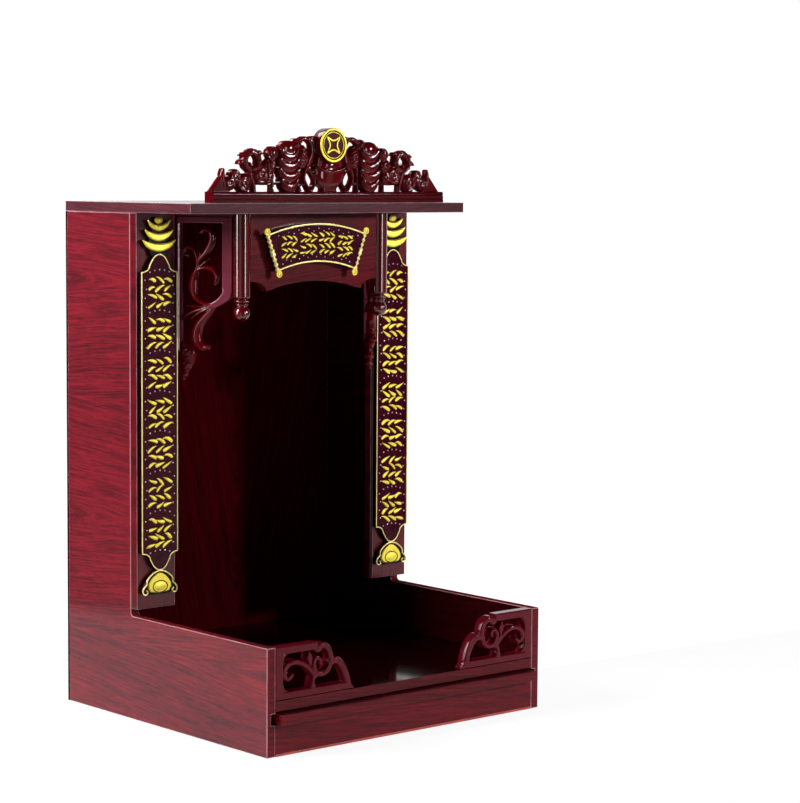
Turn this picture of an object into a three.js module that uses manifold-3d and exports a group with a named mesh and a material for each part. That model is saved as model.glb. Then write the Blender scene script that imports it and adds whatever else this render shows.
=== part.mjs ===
// Household altar cabinet: an open niche behind a low forecourt, a pull-out tray,
// a deep roof carried forward on two hanging posts, carved brackets, fences and a crest.
// Millimetres, +Z up, front towards -Y, origin in the middle of the footprint.
import * as THREE from 'three';
import { mergeVertices } from 'three/addons/utils/BufferGeometryUtils.js';
import Module from 'manifold-3d';

const wasm = await Module();
wasm.setup();

// Glue line left between two pieces that touch.
const SEAM = 0.3;

// Carcass boards.
const WIDTH = 420;
const SIDE_DEPTH = 395;
const SIDE_HEIGHT = 602;
const SIDE_T = 12;
const STEP_HEIGHT = 124;
const STEP_DEPTH = 263;
const STEP_RADIUS = 4;
const BACK_T = 3;
const ROOF_T = 12;
const ROOF_SETBACK = 143;
const DECK_TOP = 63;
const DECK_T = 12;
const BOTTOM_T = 3;
const SKIRT_T = 12;

// Pull-out tray and the grooves it runs in.
const TRAY_T = 11.5;
const TRAY_DEPTH = 300;
const TRAY_PROUD = 10.5;
const TRAY_SLOT = 2.5;
const TRAY_SIDE_PLAY = 1.6;
const TONGUE_SETBACK = 8;
const GROOVE_DEPTH = 6;
const GROOVE_PLAY = 0.5;
const GROOVE_END_PLAY = 2;
const SKIRT_PLAY = 0.7;

// Jambs in front of the upright panel edges.
const JAMB_W = 57;
const JAMB_T = 13;
const JAMB_LIFT = 9;
const JAMB_BEVEL = 2.5;

// Couplet plaques on the jambs: a lobed panel, three ingots above, a scrolled drop below.
const PLAQUE_W = 53;
const PLAQUE_T = 5;
const PLAQUE_RELIEF = 1.3;
const PLAQUE_RIM = 1.6;
const PLAQUE_TOP = 554.5;
const PLAQUE_BOTTOM = 178;
const PLAQUE_SHOULDER = 22;
const PLAQUE_NECK_HALF = 15;
const PLAQUE_CELLS = 7;
const INGOT_STACK_H = 43;
const DROP_H = 29;
const DROP_W = 48;

// Hanging posts.
const POST_X = 106;
const POST_Y = 183;
const POST_R = 10.2;
const POST_SHAFT = 99.5;
const POST_NECK = 9.5;
const POST_BALL_R = 10;

// Transom board between the posts, and the scroll plaque on it.
const TRANSOM_T = 12;
const TRANSOM_PROUD = 5;
const TRANSOM_DROP = 81;
const TRANSOM_CUSP = 11;
const TRANSOM_CUSP_X = 73;
const SCROLL_SPAN = 150;
const SCROLL_H = 47;
const SCROLL_RISE = 13;
const SCROLL_T = 9;
const SCROLL_RELIEF = 1.3;
const SCROLL_TOP_DROP = 11.5;
const SCROLL_OFFSET = -4;
const SCROLL_ROLL_R = 5;
const SCROLL_CELLS = 4;

// Carved brackets between jambs and posts.
const BRACKET_H = 199;
const BRACKET_T = 12;
const BRACKET_REBATE = 4.6;
const BRACKET_RAIL = 7;
const BRACKET_STILE = 12.4;
const BRACKET_BATTEN = 4.6;

// Corner fences on the forecourt.
const FENCE_W = 115;
const FENCE_H = 60.5;
const FENCE_T = 12;
const FENCE_RAIL = 9;
const FENCE_STILE = 11;

// Carved crest on the roof edge.
const CREST_W = 354;
const CREST_BASE_H = 13.2;
const CREST_BASE_T = 16.5;
const CREST_SETBACK = 1;
const CREST_CARVED_H = 66;
const CREST_T = 10;
const CREST_BACK_INSET = 1.5;
const COIN_R = 20.5;
const COIN_T = 14;
const COIN_RIM = 3;
const COIN_RISE = 55;

// Sizes that follow from the ones above.
const innerHalf = WIDTH / 2 - SIDE_T;
const trayTop = DECK_TOP - DECK_T - TRAY_SLOT;
const trayBottom = trayTop - TRAY_T;
const trayBack = TRAY_DEPTH - TRAY_PROUD;
const jambFront = STEP_DEPTH - SEAM - JAMB_T;
const jambBottom = STEP_HEIGHT + JAMB_LIFT;
const jambX = (WIDTH - JAMB_W) / 2;
const roofUnderside = SIDE_HEIGHT + SEAM;
const roofTop = roofUnderside + ROOF_T;
const underRoof = roofUnderside - SEAM;
const fullDepth = SIDE_DEPTH + SEAM + BACK_T;

const finishes = {
  veneer: { color: 0x6b1119, roughness: 0.22, metalness: 0 },
  board: { color: 0x4c2228, roughness: 0.3, metalness: 0 },
  carved: { color: 0x4a0810, roughness: 0.12, metalness: 0 },
};

// Solid helpers.

function toSolid(geometry) {
  const bare = geometry.clone();
  for (const name of Object.keys(bare.attributes)) {
    if (name !== 'position') bare.deleteAttribute(name);
  }
  const merged = mergeVertices(bare, 1e-4);
  return new wasm.Manifold(new wasm.Mesh({
    numProp: 3,
    vertProperties: new Float32Array(merged.attributes.position.array),
    triVerts: new Uint32Array(merged.index.array),
  }));
}

function toGeometry(solid) {
  const mesh = solid.getMesh();
  const geometry = new THREE.BufferGeometry();
  geometry.setAttribute('position', new THREE.BufferAttribute(mesh.vertProperties, 3));
  geometry.setIndex(new THREE.BufferAttribute(mesh.triVerts, 1));
  return geometry;
}

function join(geometries) {
  return toGeometry(geometries.map(toSolid).reduce((whole, next) => whole.add(next)));
}

function cut(geometry, tools) {
  return toGeometry(tools.map(toSolid).reduce((whole, tool) => whole.subtract(tool), toSolid(geometry)));
}

// A box between two values on each axis.
function block([x0, x1], [y0, y1], [z0, z1]) {
  const box = new THREE.BoxGeometry(x1 - x0, y1 - y0, z1 - z0);
  return box.translate((x0 + x1) / 2, (y0 + y1) / 2, (z0 + z1) / 2);
}

function outline(points) {
  return points.map(([x, y]) => new THREE.Vector2(x, y));
}

// An outline in the x, y plane, thickened from z = low to z = high.
function plate(points, low, high, hole) {
  const shape = new THREE.Shape(outline(points));
  if (hole) shape.holes.push(new THREE.Path(outline(hole)));
  const body = new THREE.ExtrudeGeometry(shape, { depth: high - low, bevelEnabled: false });
  return body.translate(0, 0, low);
}

// A list of points and the same list reflected in x, as one closed outline.
function symmetric(points) {
  const reflected = points.filter(([x]) => Math.abs(x) > 1e-6).map(([x, y]) => [-x, y]);
  return [...points, ...reflected.reverse()];
}

// Stands a carving drawn in x and y upright, its face towards -Y.
function stand(geometry, x, back, z) {
  return geometry.rotateX(Math.PI / 2).translate(x, back, z);
}

// The same piece reflected in the cabinet's middle plane.
function mirrored(geometry) {
  const other = mergeVertices(geometry.clone().deleteAttribute('uv').deleteAttribute('normal'));
  other.scale(-1, 1, 1);
  const index = other.index.array;
  for (let i = 0; i < index.length; i += 3) {
    [index[i], index[i + 1]] = [index[i + 1], index[i]];
  }
  return other;
}

// Carving helpers. A stroke lies in the x, y plane and rises along z.

// Scales from the squares on which a carving is drawn to its real width and height.
const drawnScale = (width, squaresAcross, height, squaresUp) => [width / squaresAcross, height / squaresUp];

// Sections of a stroke with half width w, listed clockwise along its run.
const ridged = (back, side, crown) => (w) => [[w, back], [w, side], [0, crown], [-w, side], [-w, back]];
const sloped = (back, front) => (w) => [[w, back], [w * 0.5, front], [-w * 0.5, front], [-w, back]];
const flat = (back, front) => (w) => [[w, back], [w, front], [-w, front], [-w, back]];
const twoFaced = (side, crown) => (w) => (
  [[w, -side], [w, side], [0, crown], [-w, side], [-w, -side], [0, -crown]]);

// A band of varying half width swept along a smooth curve through the points.
function band(points, halfWidths, section, steps = 8) {
  const smooth = (list) => new THREE.CatmullRomCurve3(list, false, 'centripetal');
  const line = smooth(points.map(([x, y]) => new THREE.Vector3(x, y, 0)));
  const widths = smooth(halfWidths.map((w, i) => new THREE.Vector3(i, w, 0)));
  const position = [];
  let ring = 0;
  for (let i = 0; i <= steps; i += 1) {
    const p = line.getPoint(i / steps);
    const tangent = line.getTangent(i / steps);
    const corners = section(Math.max(widths.getPoint(i / steps).y, 0.3));
    ring = corners.length;
    for (const [offset, z] of corners) {
      position.push(p.x - tangent.y * offset, p.y + tangent.x * offset, z);
    }
  }
  const index = [];
  for (let i = 0; i < steps; i += 1) {
    for (let k = 0; k < ring; k += 1) {
      const a = i * ring + k;
      const b = i * ring + ((k + 1) % ring);
      index.push(a, b, a + ring, b, b + ring, a + ring);
    }
  }
  const last = steps * ring;
  for (let k = 1; k < ring - 1; k += 1) {
    index.push(0, k + 1, k, last, last + k, last + k + 1);
  }
  const geometry = new THREE.BufferGeometry();
  geometry.setAttribute('position', new THREE.Float32BufferAttribute(position, 3));
  geometry.setIndex(index);
  return geometry;
}

// Points of a spiral about a centre; angles in degrees, its radius running from r0 to r1.
function spiral([cx, cy], [r0, r1], from, sweep, count = 7) {
  return Array.from({ length: count }, (_, i) => {
    const t = i / (count - 1);
    const angle = THREE.MathUtils.degToRad(from + sweep * t);
    const r = r0 + (r1 - r0) * t;
    return [cx + r * Math.cos(angle), cy + r * Math.sin(angle)];
  });
}

// An arc of a circle or ellipse as points.
const arc = ([cx, cy], [rx, ry], from, sweep, count = 7) => (
  spiral([0, 0], [1, 1], from, sweep, count).map(([x, y]) => [cx + rx * x, cy + ry * y]));

// A boss: an oval foot that narrows to a low dome.
function bead([x, y], [rx, ry], [back, side, crown], sides = 8) {
  const profile = outline([[0, back], [1, back], [0.8, side], [0, crown]]);
  const dome = new THREE.LatheGeometry(profile, sides);
  return dome.rotateX(Math.PI / 2).scale(rx, ry, 1).translate(x, y, 0);
}

// The bars of one cell where an inscription would be: short slanted strokes, not letters.
function cellStrokes([x, y], [width, height], [back, front], turn) {
  return [1, -1].map((row, i) => {
    const length = width * (0.7 + 0.12 * ((i + turn) % 3));
    const bar = new THREE.BoxGeometry(length, height * 0.2, front - back);
    const lean = THREE.MathUtils.degToRad(22 + 12 * ((i + turn) % 2));
    return bar.rotateZ(lean).translate(x, y + height * 0.23 * row, (front + back) / 2);
  });
}

// Carcass.

// A side panel in depth and height: tall behind, low in front, rounded where they meet.
function sideOutline() {
  const r = STEP_RADIUS;
  const corner = arc([STEP_DEPTH - r, STEP_HEIGHT + r], [r, r], 0, -90, 5);
  return [
    [0, 0], [SIDE_DEPTH, 0], [SIDE_DEPTH, SIDE_HEIGHT], [STEP_DEPTH, SIDE_HEIGHT],
    ...corner, [0, STEP_HEIGHT],
  ];
}

// The left panel, with the groove for the tray in its inner face.
function leftSidePanel() {
  const board = plate(sideOutline(), 0, SIDE_T);
  board.rotateX(Math.PI / 2).rotateZ(Math.PI / 2).translate(-WIDTH / 2, 0, 0);
  const groove = block(
    [-innerHalf - GROOVE_DEPTH, -innerHalf + SIDE_T],
    [-SIDE_T, trayBack + GROOVE_END_PLAY],
    [trayBottom - GROOVE_PLAY, trayTop + GROOVE_PLAY]);
  return cut(board, [groove]);
}

function pullOutTray() {
  const lip = innerHalf - TRAY_SIDE_PLAY;
  const reach = innerHalf + GROOVE_DEPTH - GROOVE_PLAY;
  const board = block([-lip, lip], [-TRAY_PROUD, trayBack], [trayBottom, trayTop]);
  const tongues = block([-reach, reach], [TONGUE_SETBACK, trayBack], [trayBottom, trayTop]);
  return join([board, tongues]);
}

// The left jamb, its inner front edge taken off.
function leftJamb() {
  const half = JAMB_W / 2;
  const section = [[-half, 0], [half, 0], [half, JAMB_BEVEL - JAMB_T],
    [half - JAMB_BEVEL, -JAMB_T], [-half, -JAMB_T]];
  const board = plate(section.reverse(), jambBottom, underRoof - SEAM);
  return board.translate(-jambX, jambFront + JAMB_T, 0);
}

// Couplet plaque.

// The lobed panel's outline, inset by a margin, about x = 0 with y at real height.
function panelOutline(margin) {
  const half = PLAQUE_W / 2 - margin;
  const neck = PLAQUE_NECK_HALF - margin;
  const top = PLAQUE_TOP - margin;
  const bottom = PLAQUE_BOTTOM + margin;
  const lobe = PLAQUE_SHOULDER - margin;
  const rise = lobe * 0.62;
  const right = [
    ...arc([0, bottom + lobe], [neck, lobe], -90, 55, 4),
    [neck, bottom + rise],
    [half, bottom + lobe],
    [half, top - lobe],
    [neck, top - rise],
    ...arc([0, top - lobe], [neck, lobe], 35, 55, 4),
  ];
  return symmetric(right);
}

// One ingot: a boat-shaped crescent of a given width about a centre.
function ingot([x, y], width, sag, section) {
  const half = width / 2;
  return band([[x - half, y + sag], [x - half * 0.6, y + sag * 0.2], [x, y - sag * 0.3],
    [x + half * 0.6, y + sag * 0.2], [x + half, y + sag]], [0.8, 3.2, 4.4, 3.2, 0.8], section, 4);
}

function coupletPlaque() {
  const face = PLAQUE_T + PLAQUE_RELIEF;
  const parts = [
    cut(plate(panelOutline(0), 0, face), [plate(panelOutline(PLAQUE_RIM), PLAQUE_T, face + 1)]),
  ];
  // Ingots: each stands on the one below, from wide to narrow, with a pearl on top.
  const stack = [[0.19, 44], [0.47, 38], [0.73, 31]];
  for (const [share, width] of stack) {
    parts.push(ingot([0, PLAQUE_TOP + INGOT_STACK_H * share], width, 5, sloped(0, face)));
  }
  parts.push(bead([0, PLAQUE_TOP + INGOT_STACK_H * 0.9], [5.4, 4], [0, PLAQUE_T, face]));
  parts.push(plate([[-7, PLAQUE_TOP - 3], [7, PLAQUE_TOP - 3], [3, PLAQUE_TOP + INGOT_STACK_H * 0.88],
    [-3, PLAQUE_TOP + INGOT_STACK_H * 0.88]], 0, PLAQUE_T - 1.5));
  // The drop: a shouldered ingot with a curl at each end and a boss in the middle.
  const tip = DROP_W / 2;
  const drop = (share) => PLAQUE_BOTTOM - DROP_H * share;
  parts.push(plate(symmetric([[0, drop(0.9)], [tip * 0.6, drop(0.82)], [tip * 0.72, drop(0.5)],
    [tip * 0.62, drop(0.25)], [tip * 0.2, drop(-0.08)]]), 0, PLAQUE_T));
  for (const side of [-1, 1]) {
    parts.push(bead([side * tip * 0.79, drop(0.8)], [tip * 0.21, DROP_H * 0.17], [0, PLAQUE_T, face], 6));
  }
  parts.push(bead([0, drop(0.68)], [9, 6.2], [0, PLAQUE_T, face + 1]));
  const first = PLAQUE_TOP - PLAQUE_SHOULDER;
  const pitch = (first - PLAQUE_BOTTOM - PLAQUE_SHOULDER) / PLAQUE_CELLS;
  for (let i = 0; i < PLAQUE_CELLS; i += 1) {
    const centre = [0, first - pitch * (i + 0.5)];
    parts.push(...cellStrokes(centre, [PLAQUE_W * 0.56, pitch * 0.8], [PLAQUE_T - 1, face], i));
  }
  return join(parts);
}

// Hanging post, its axis along z with the top of the shaft at z = 0.
function hangingPost() {
  const neck = -POST_SHAFT;
  const ball = neck - POST_NECK - POST_BALL_R * 0.8;
  const groove = POST_R * 0.66;
  const profile = [
    [0, 0], [POST_R, 0], [POST_R, neck + 1], [groove, neck],
    [POST_R * 0.88, neck - POST_NECK * 0.35], [groove, neck - POST_NECK * 0.62],
    [POST_R * 0.74, neck - POST_NECK * 0.8], [groove, neck - POST_NECK],
    ...arc([0, ball], [POST_BALL_R, POST_BALL_R], 40, -130, 5),
  ];
  profile[profile.length - 1][0] = 0;
  const turned = new THREE.LatheGeometry(outline(profile).reverse(), 12);
  return turned.rotateX(Math.PI / 2);
}

// Transom.

function transomOutline() {
  const half = POST_X;
  const lobe = -TRANSOM_DROP;
  const cusp = lobe - TRANSOM_CUSP;
  const arch = [0, 0.25, 0.5, 0.75, 1].map((t) => [TRANSOM_CUSP_X * t, lobe - TRANSOM_CUSP * t * t]);
  const shoulder = half - TRANSOM_CUSP_X - POST_R;
  const quarter = arc([TRANSOM_CUSP_X + shoulder, cusp], [shoulder, TRANSOM_CUSP + 1], 180, -90, 5).slice(1);
  return symmetric([...arch, ...quarter, [half, lobe], [half, -SEAM]]);
}

function transom() {
  const board = plate(transomOutline(), 0, TRANSOM_T);
  const back = POST_Y - TRANSOM_PROUD + TRANSOM_T;
  stand(board, 0, back, underRoof);
  // Its ends are coped round the two posts.
  const cope = TRANSOM_DROP + TRANSOM_CUSP + SIDE_T;
  const posts = [-1, 1].map((side) => new THREE.CylinderGeometry(POST_R + SEAM, POST_R + SEAM, cope * 2, 24)
    .rotateX(Math.PI / 2).translate(side * POST_X, POST_Y, underRoof));
  const clear = [-1, 1].map((side) => block(
    [Math.min(side * POST_X, side * WIDTH / 2), Math.max(side * POST_X, side * WIDTH / 2)],
    [0, SIDE_DEPTH], [underRoof - cope, underRoof + SIDE_T]));
  return cut(board, [...posts, ...clear]);
}

// Scroll plaque: a fan-shaped sheet between two rolled ends, y = 0 at the top of its arch.
function scrollPlaque() {
  const half = SCROLL_SPAN / 2;
  const radius = (half * half + SCROLL_RISE * SCROLL_RISE) / (2 * SCROLL_RISE);
  const spread = THREE.MathUtils.radToDeg(Math.asin(half / radius));
  const fan = (inset, count) => {
    const turn = spread - THREE.MathUtils.radToDeg(inset / radius);
    const outer = radius - inset;
    const inner = radius - SCROLL_H + inset;
    return [
      ...arc([0, -radius], [outer, outer], 90 - turn, 2 * turn, count),
      ...arc([0, -radius], [inner, inner], 90 + turn, -2 * turn, count),
    ];
  };
  const face = SCROLL_T + SCROLL_RELIEF;
  const parts = [
    cut(plate(fan(0, 8), 0, face), [plate(fan(PLAQUE_RIM, 8), SCROLL_T, face + 1)]),
  ];
  const along = (angle, r) => arc([0, -radius], [r, r], 90 - angle, 0, 2)[0];
  for (const side of [-1, 1]) {
    const [top, foot] = [radius + 3, radius - SCROLL_H - 3].map((r) => along(side * spread, r));
    const middle = along(side * spread, radius - SCROLL_H / 2);
    parts.push(band([top, middle, foot], [SCROLL_ROLL_R, SCROLL_ROLL_R * 0.8, SCROLL_ROLL_R],
      ridged(0, SCROLL_T, face + 1), 4));
  }
  for (let i = 0; i < SCROLL_CELLS; i += 1) {
    const angle = spread * 0.84 * (2 * (i + 0.5) / SCROLL_CELLS - 1);
    const centre = along(angle, radius - SCROLL_H / 2);
    parts.push(...cellStrokes(centre, [SCROLL_H * 0.47, SCROLL_H * 0.55], [SCROLL_T - 1, face], i));
  }
  return join(parts);
}

// Bracket. Its outer face starts at the jamb's inner front corner and it runs out to the post.

// Where the left bracket starts, and the direction in which it runs.
function bracketLine() {
  const up = new THREE.Vector3(0, 0, 1);
  const corner = new THREE.Vector3(JAMB_W - WIDTH / 2, jambFront, underRoof);
  const post = new THREE.Vector3(-POST_X, POST_Y, underRoof);
  const across = post.clone().sub(corner).normalize().cross(up);
  const from = corner.addScaledVector(across, -BRACKET_T / 2);
  const run = post.clone().sub(from).normalize();
  return { from, run, up, span: post.distanceTo(from) - POST_R - SEAM };
}

// Drawn in its own plane: x from the jamb to the post, y = 0 at the roof.
function bracket(span) {
  const half = BRACKET_T / 2;
  const rail = -BRACKET_REBATE - BRACKET_RAIL;
  const inner = span - BRACKET_STILE;
  const stile = inner + BRACKET_STILE / 2;
  const start = -BRACKET_T;
  const left = BRACKET_BATTEN;
  // The carving keeps its own proportions within the open width and the height.
  const [u, v] = drawnScale(inner - left, 54, BRACKET_H, 199);
  const at = (list) => list.map(([x, y]) => [left + (x - 5) * u, y * v]);
  const stroke = (points, widths, steps, section = twoFaced(half * 0.6, half)) => (
    band(at(points), widths.map((w) => w * Math.max(u, v)), section, steps));
  const leaf = (points, widths, steps) => stroke(points, widths, steps, flat(-half * 0.6, half * 0.6));
  return join([
    block([start, span], [rail, -BRACKET_REBATE], [-half, half]),
    block([start, span], [-BRACKET_REBATE - 1, -SEAM], [-half / 2, half / 2]),
    block([inner, span], [-88 * v, rail + 1], [-half, half]),
    block([start, left], [-165 * v, rail + 1], [-half, half]),
    // The stile turns inwards at its foot.
    band([[stile, -86 * v], [stile - 0.5, -93 * v], ...at([[60, -100], [53.5, -105.5], [46, -109]])],
      [BRACKET_STILE / 2, 5.9, 4.8, 3.8, 3.2], flat(-half, half), 5),
    // Main stem: a C that rises to a curl beside the batten.
    stroke([[50, -106.5], [42, -108], [33, -106.5], [26, -101.5], [21.6, -93], [21, -85], [22.2, -77],
      [25, -69], [27.6, -62], [27, -54], [24, -46], [18, -41.2], [11.8, -42], [9.6, -47.5], [13.6, -50]],
    [2.4, 2.2, 2.4, 3.4, 4.8, 5.4, 4.6, 3, 2.4, 2.3, 2.2, 2.1, 2, 1.9, 1.9], 18),
    // The C's upper arm, and the plume and leaves above it.
    stroke([[24, -70], [30, -66], [38.5, -64.6], [46, -67], [50.5, -72], [51, -78], [49, -84]],
      [1.6, 2.3, 2.6, 2.9, 2.8, 2.4, 1.2], 7),
    stroke([[27, -62], [31, -54], [37, -47], [42, -40], [45, -32], [44.6, -25], [40.5, -20.6],
      [35, -20], [31, -23.5]], [1.6, 2.5, 3.2, 3.9, 4.2, 3.8, 3, 2.2, 1.6], 8),
    leaf([[24.5, -67.5], [34, -60.5], [42.7, -53.8]], [1, 2, 0.6], 2),
    leaf([[28, -58], [30.5, -51], [31, -44.5]], [1.2, 2, 0.6], 2),
    // Three spikes and the lower S scroll spring from the foot of the stile.
    leaf([[46, -109], [30, -110.6], [14, -110]], [1.6, 1.3, 1.6], 2),
    leaf([[46, -110], [30, -114], [17, -119], [7, -126.3]], [2, 2.2, 2, 0.7], 3),
    leaf([[46, -111], [34, -115.5], [26, -120], [19.2, -126]], [2, 2.1, 1.8, 0.6], 3),
    stroke([[50, -107], [41, -118], [33.4, -126.5], [27.8, -134], [25.2, -142], [25.4, -149.5],
      [28, -155.6], [33.5, -159.4], [39, -159]], [2.4, 3.6, 4.6, 5.4, 5.8, 5.7, 4.9, 4.2, 3.3], 10),
    // The hanging leaf at the foot.
    stroke([[9.5, -158], [13.6, -168], [12.5, -178], [10.5, -187], [8.6, -199]], [6, 10.8, 7.6, 4.6, 1.2], 5),
  ]);
}

// The left bracket, scribed to the jamb's inner face.
function leftBracket() {
  const { from, run, up, span } = bracketLine();
  const turn = new THREE.Matrix4().makeBasis(run, up, run.clone().cross(up)).setPosition(from);
  const jambSide = block([-WIDTH / 2, JAMB_W - WIDTH / 2 + SEAM], [0, SIDE_DEPTH], [0, SIDE_HEIGHT]);
  return cut(bracket(span).applyMatrix4(turn), [jambSide]);
}

// Fence, drawn with x from the side panel inwards and y = 0 on the deck.
function fence() {
  const [u, v] = drawnScale(FENCE_W, 115, FENCE_H, 60.5);
  const at = (list) => list.map(([x, y]) => [x * u, y * v]);
  const face = flat(0, FENCE_T);
  const stroke = (points, widths, steps) => (
    band(at(points), widths.map((w) => w * Math.max(u, v)), face, steps));
  const rail = FENCE_H - FENCE_RAIL;
  return join([
    block([0, FENCE_STILE], [0, FENCE_H], [0, FENCE_T]),
    block([0, 60 * u], [rail, FENCE_H], [0, FENCE_T]),
    block([0, 106 * u], [0, FENCE_RAIL * 0.94], [0, FENCE_T]),
    // Upper lobe, running on round and up into a small curl.
    stroke([...arc([68.5, 38.8], [12.2, 16.2], 122, -212, 9), [60.6, 23.6], [56.8, 30], [56.4, 37.5],
      [60.2, 41.6], [64.8, 39], [64.6, 34]],
    [4.4, 3, 2.8, 2.8, 2.8, 2.8, 2.8, 2.8, 2.8, 2.6, 2.4, 2.2, 2, 1.9, 1.5], 20),
    // Lower lobe down to the foot.
    stroke([[80, 34.5], [89, 35.4], [96.2, 30], [101.4, 21.2], [104.8, 12], [106.6, 3]],
      [3.4, 3.4, 3.5, 3.5, 3.4, 3.6], 7),
    plate(at([[103, 0], [115, 0], [109, 8], [103, 8]]), 0, FENCE_T),
    // C scroll with its hook on the stile.
    stroke([[24.6, 26.4], [20.2, 22.6], [14.6, 25], [13.8, 32], [19, 38.4], [29.4, 40.4], [41.6, 36.4],
      [50.4, 29.8], [58, 21.6]], [1.7, 2, 2.5, 2.8, 2.6, 2.5, 2.5, 2.5, 2.8], 12),
    plate(at([[48.8, 52], [53.6, 43.4], [51, 30], [45.2, 43.8]]), 0, FENCE_T),
    stroke([[57.4, 23], [54, 15.5], [54.6, 6]], [2.4, 2.1, 4.2], 4),
  ]);
}

// Crest.

// The moulded base in depth and height, its face to the left.
function crestBase() {
  const t = CREST_BASE_T;
  const h = CREST_BASE_H;
  const groove = 1.1;
  const profile = [[0, 0], [t, 0], [t, h], [3.2, h], [1.2, h * 0.8], [groove * 1.6, h * 0.72],
    [groove * 1.6, h * 0.66], [0.5, h * 0.62], [0.5, h * 0.36], [groove, h * 0.32], [groove, h * 0.26],
    [0, h * 0.22]];
  const moulding = plate(profile, 0, CREST_W);
  moulding.rotateX(Math.PI / 2).rotateZ(Math.PI / 2).translate(-CREST_W / 2, 0, 0);
  return moulding;
}

// One half of the pierced carving, x from the middle outwards and y = 0 on the base.
function crestHalf() {
  const [u, v] = drawnScale(CREST_W, 354, CREST_CARVED_H, 66);
  const t = CREST_T;
  const at = (list) => list.map(([x, y]) => [x * u, y * v]);
  const stroke = (points, widths, steps = 6, front = t, section = flat) => (
    band(at(points), widths.map((w) => w * Math.max(u, v)), section(0, front), steps));
  const boss = ([x, y], [rx, ry], crown = t * 1.2, sides = 8) => (
    bead([x * u, y * v], [rx * u, ry * v], [0, t * 0.7, crown], sides));
  const curl = (centre, r, from, sweep, w, steps = 6) => (
    stroke(spiral(centre, [r, r * 0.35], from, sweep), [w, w, w * 0.7], steps));
  // The stacked body: four crescents under a dome.
  const crescents = [[44, 12.5], [33, 14.5], [21, 15], [9, 12]].map(([y, half]) => stroke(
    [[62 - half, y + 5], [62 - half * 0.5, y - 2], [62, y - 4], [62 + half * 0.5, y - 2], [62 + half, y + 5]],
    [1.8, 6, 7.6, 6, 1.8], 4, t * 1.3, sloped));
  return [
    // End wedge, spike and the low clouds.
    plate(at([[176.5, -1], [161, 17.5], [151, 13], [149, -1]]), 0, t * 0.8),
    stroke([[156, 8], [157, 19], [156.4, 27]], [3.4, 3.2, 1.6], 2, t * 0.9),
    curl([148, 9], 6.2, 200, -330, 3.1),
    curl([139.5, 17], 6.2, 60, 330, 3.4),
    curl([127, 9.8], 8.6, -100, 400, 3.3, 8),
    // Flower head: an open ring of petals on a stem.
    stroke(spiral([115, 35.5], [10.8, 9.4], -70, 330), [3.6, 4, 3.8, 4, 3], 9, t * 1.1),
    stroke([[112, 44], [114, 47.5], [119, 50]], [3.2, 2.6, 0.8], 2, t * 0.9),
    stroke([[107, 42], [104, 45.5], [98.6, 43.6]], [3.2, 2.6, 0.6], 2, t * 0.9),
    stroke([[122, 41], [127, 43], [131, 42]], [3.2, 2.6, 0.8], 2, t * 0.9),
    stroke([[125, 33], [131, 34.5], [134.4, 32]], [3.2, 2.8, 0.8], 2, t * 0.9),
    stroke([[119, 30], [116, 18], [112, 8], [111, -2]], [4.4, 3.4, 2.8, 2.8], 3, t * 0.8),
    // Clouds climbing the side of the body.
    curl([102, 19.4], 8.8, -60, -380, 3.5, 8),
    boss([90.5, 18], [8, 8.4]),
    boss([88, 31], [9, 8.6]),
    boss([85, 44.5], [8.6, 8.4]),
    stroke([[85, 24], [85.6, 10], [85.4, -2]], [2.2, 1.8, 2.6], 2, t * 0.8),
    stroke([[98, 8.8], [74, 9.4]], [1.5, 1.5], 1, t * 0.7),
    ...crescents,
    boss([62, 50], [13.6, 9.8], t * 1.3, 12),
    // Tassel leaf, the two thin stems and the top clouds between body and coin.
    boss([49.6, 55.6], [7.4, 7]),
    boss([40, 41], [8.2, 14]),
    stroke([[46, 58], [37, 62.4], [27.6, 58], [25.6, 47], [28.4, 36], [34, 27], [37.4, 16], [32.6, 6],
      [27, -2]], [3.4, 2.8, 2.6, 3.6, 5, 2.8, 2.2, 2.2, 2.6], 12, t * 0.9),
    stroke([[34, 30], [25, 21], [20.6, 11.6], [28, -2]], [2.6, 2.3, 2.2, 2.6], 5, t * 0.8),
    stroke([[32, 61.4], [22, 65], [14, 60]], [2.8, 3, 3.4], 3),
    stroke([[54, 8.4], [36, 8.4]], [1.5, 1.5], 1, t * 0.7),
    stroke([[44, 32], [44.6, 12], [44, -2]], [3, 1.6, 2.4], 2, t * 0.8),
  ];
}

// The treasure pot under the coin.
function crestPot() {
  const h = CREST_CARVED_H;
  const side = [[0, -1], [12, -1], [11, h * 0.05], [17, h * 0.14], [22.4, h * 0.28], [23.6, h * 0.4],
    [21, h * 0.47], [19, h * 0.6], [17, h * 0.75], [0, h * 0.8]];
  return [
    plate(symmetric(side), 0, CREST_T),
    bead([0, h * 0.3], [h * 0.3, h * 0.2], [0, CREST_T * 0.9, CREST_T * 1.4], 12),
  ];
}

// The coin: a thick disc with a raised rim and a raised hollow-sided square.
function crestCoin() {
  const face = COIN_T - 1.5;
  const ring = (radius) => arc([0, COIN_RISE], [radius, radius], 0, 345, 24);
  const square = (r) => symmetric([[0, COIN_RISE - r * 0.72], [r, COIN_RISE - r], [r * 0.72, COIN_RISE],
    [r, COIN_RISE + r], [0, COIN_RISE + r * 0.72]]);
  const dish = cut(plate(ring(COIN_R), 0, COIN_T), [plate(ring(COIN_R - COIN_RIM), face, COIN_T + 1)]);
  return [dish, plate(square(COIN_R * 0.56), face - 1, COIN_T, square(COIN_R * 0.42))];
}

function crest() {
  const half = crestHalf();
  const carving = join([...crestPot(), ...crestCoin(), ...half, ...half.map(mirrored)]);
  stand(carving, 0, CREST_BASE_T - CREST_BACK_INSET, CREST_BASE_H);
  return join([crestBase(), carving]);
}

// Assembly.

const cabinet = new THREE.Group();
cabinet.position.y = -(fullDepth - TRAY_PROUD) / 2;

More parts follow.
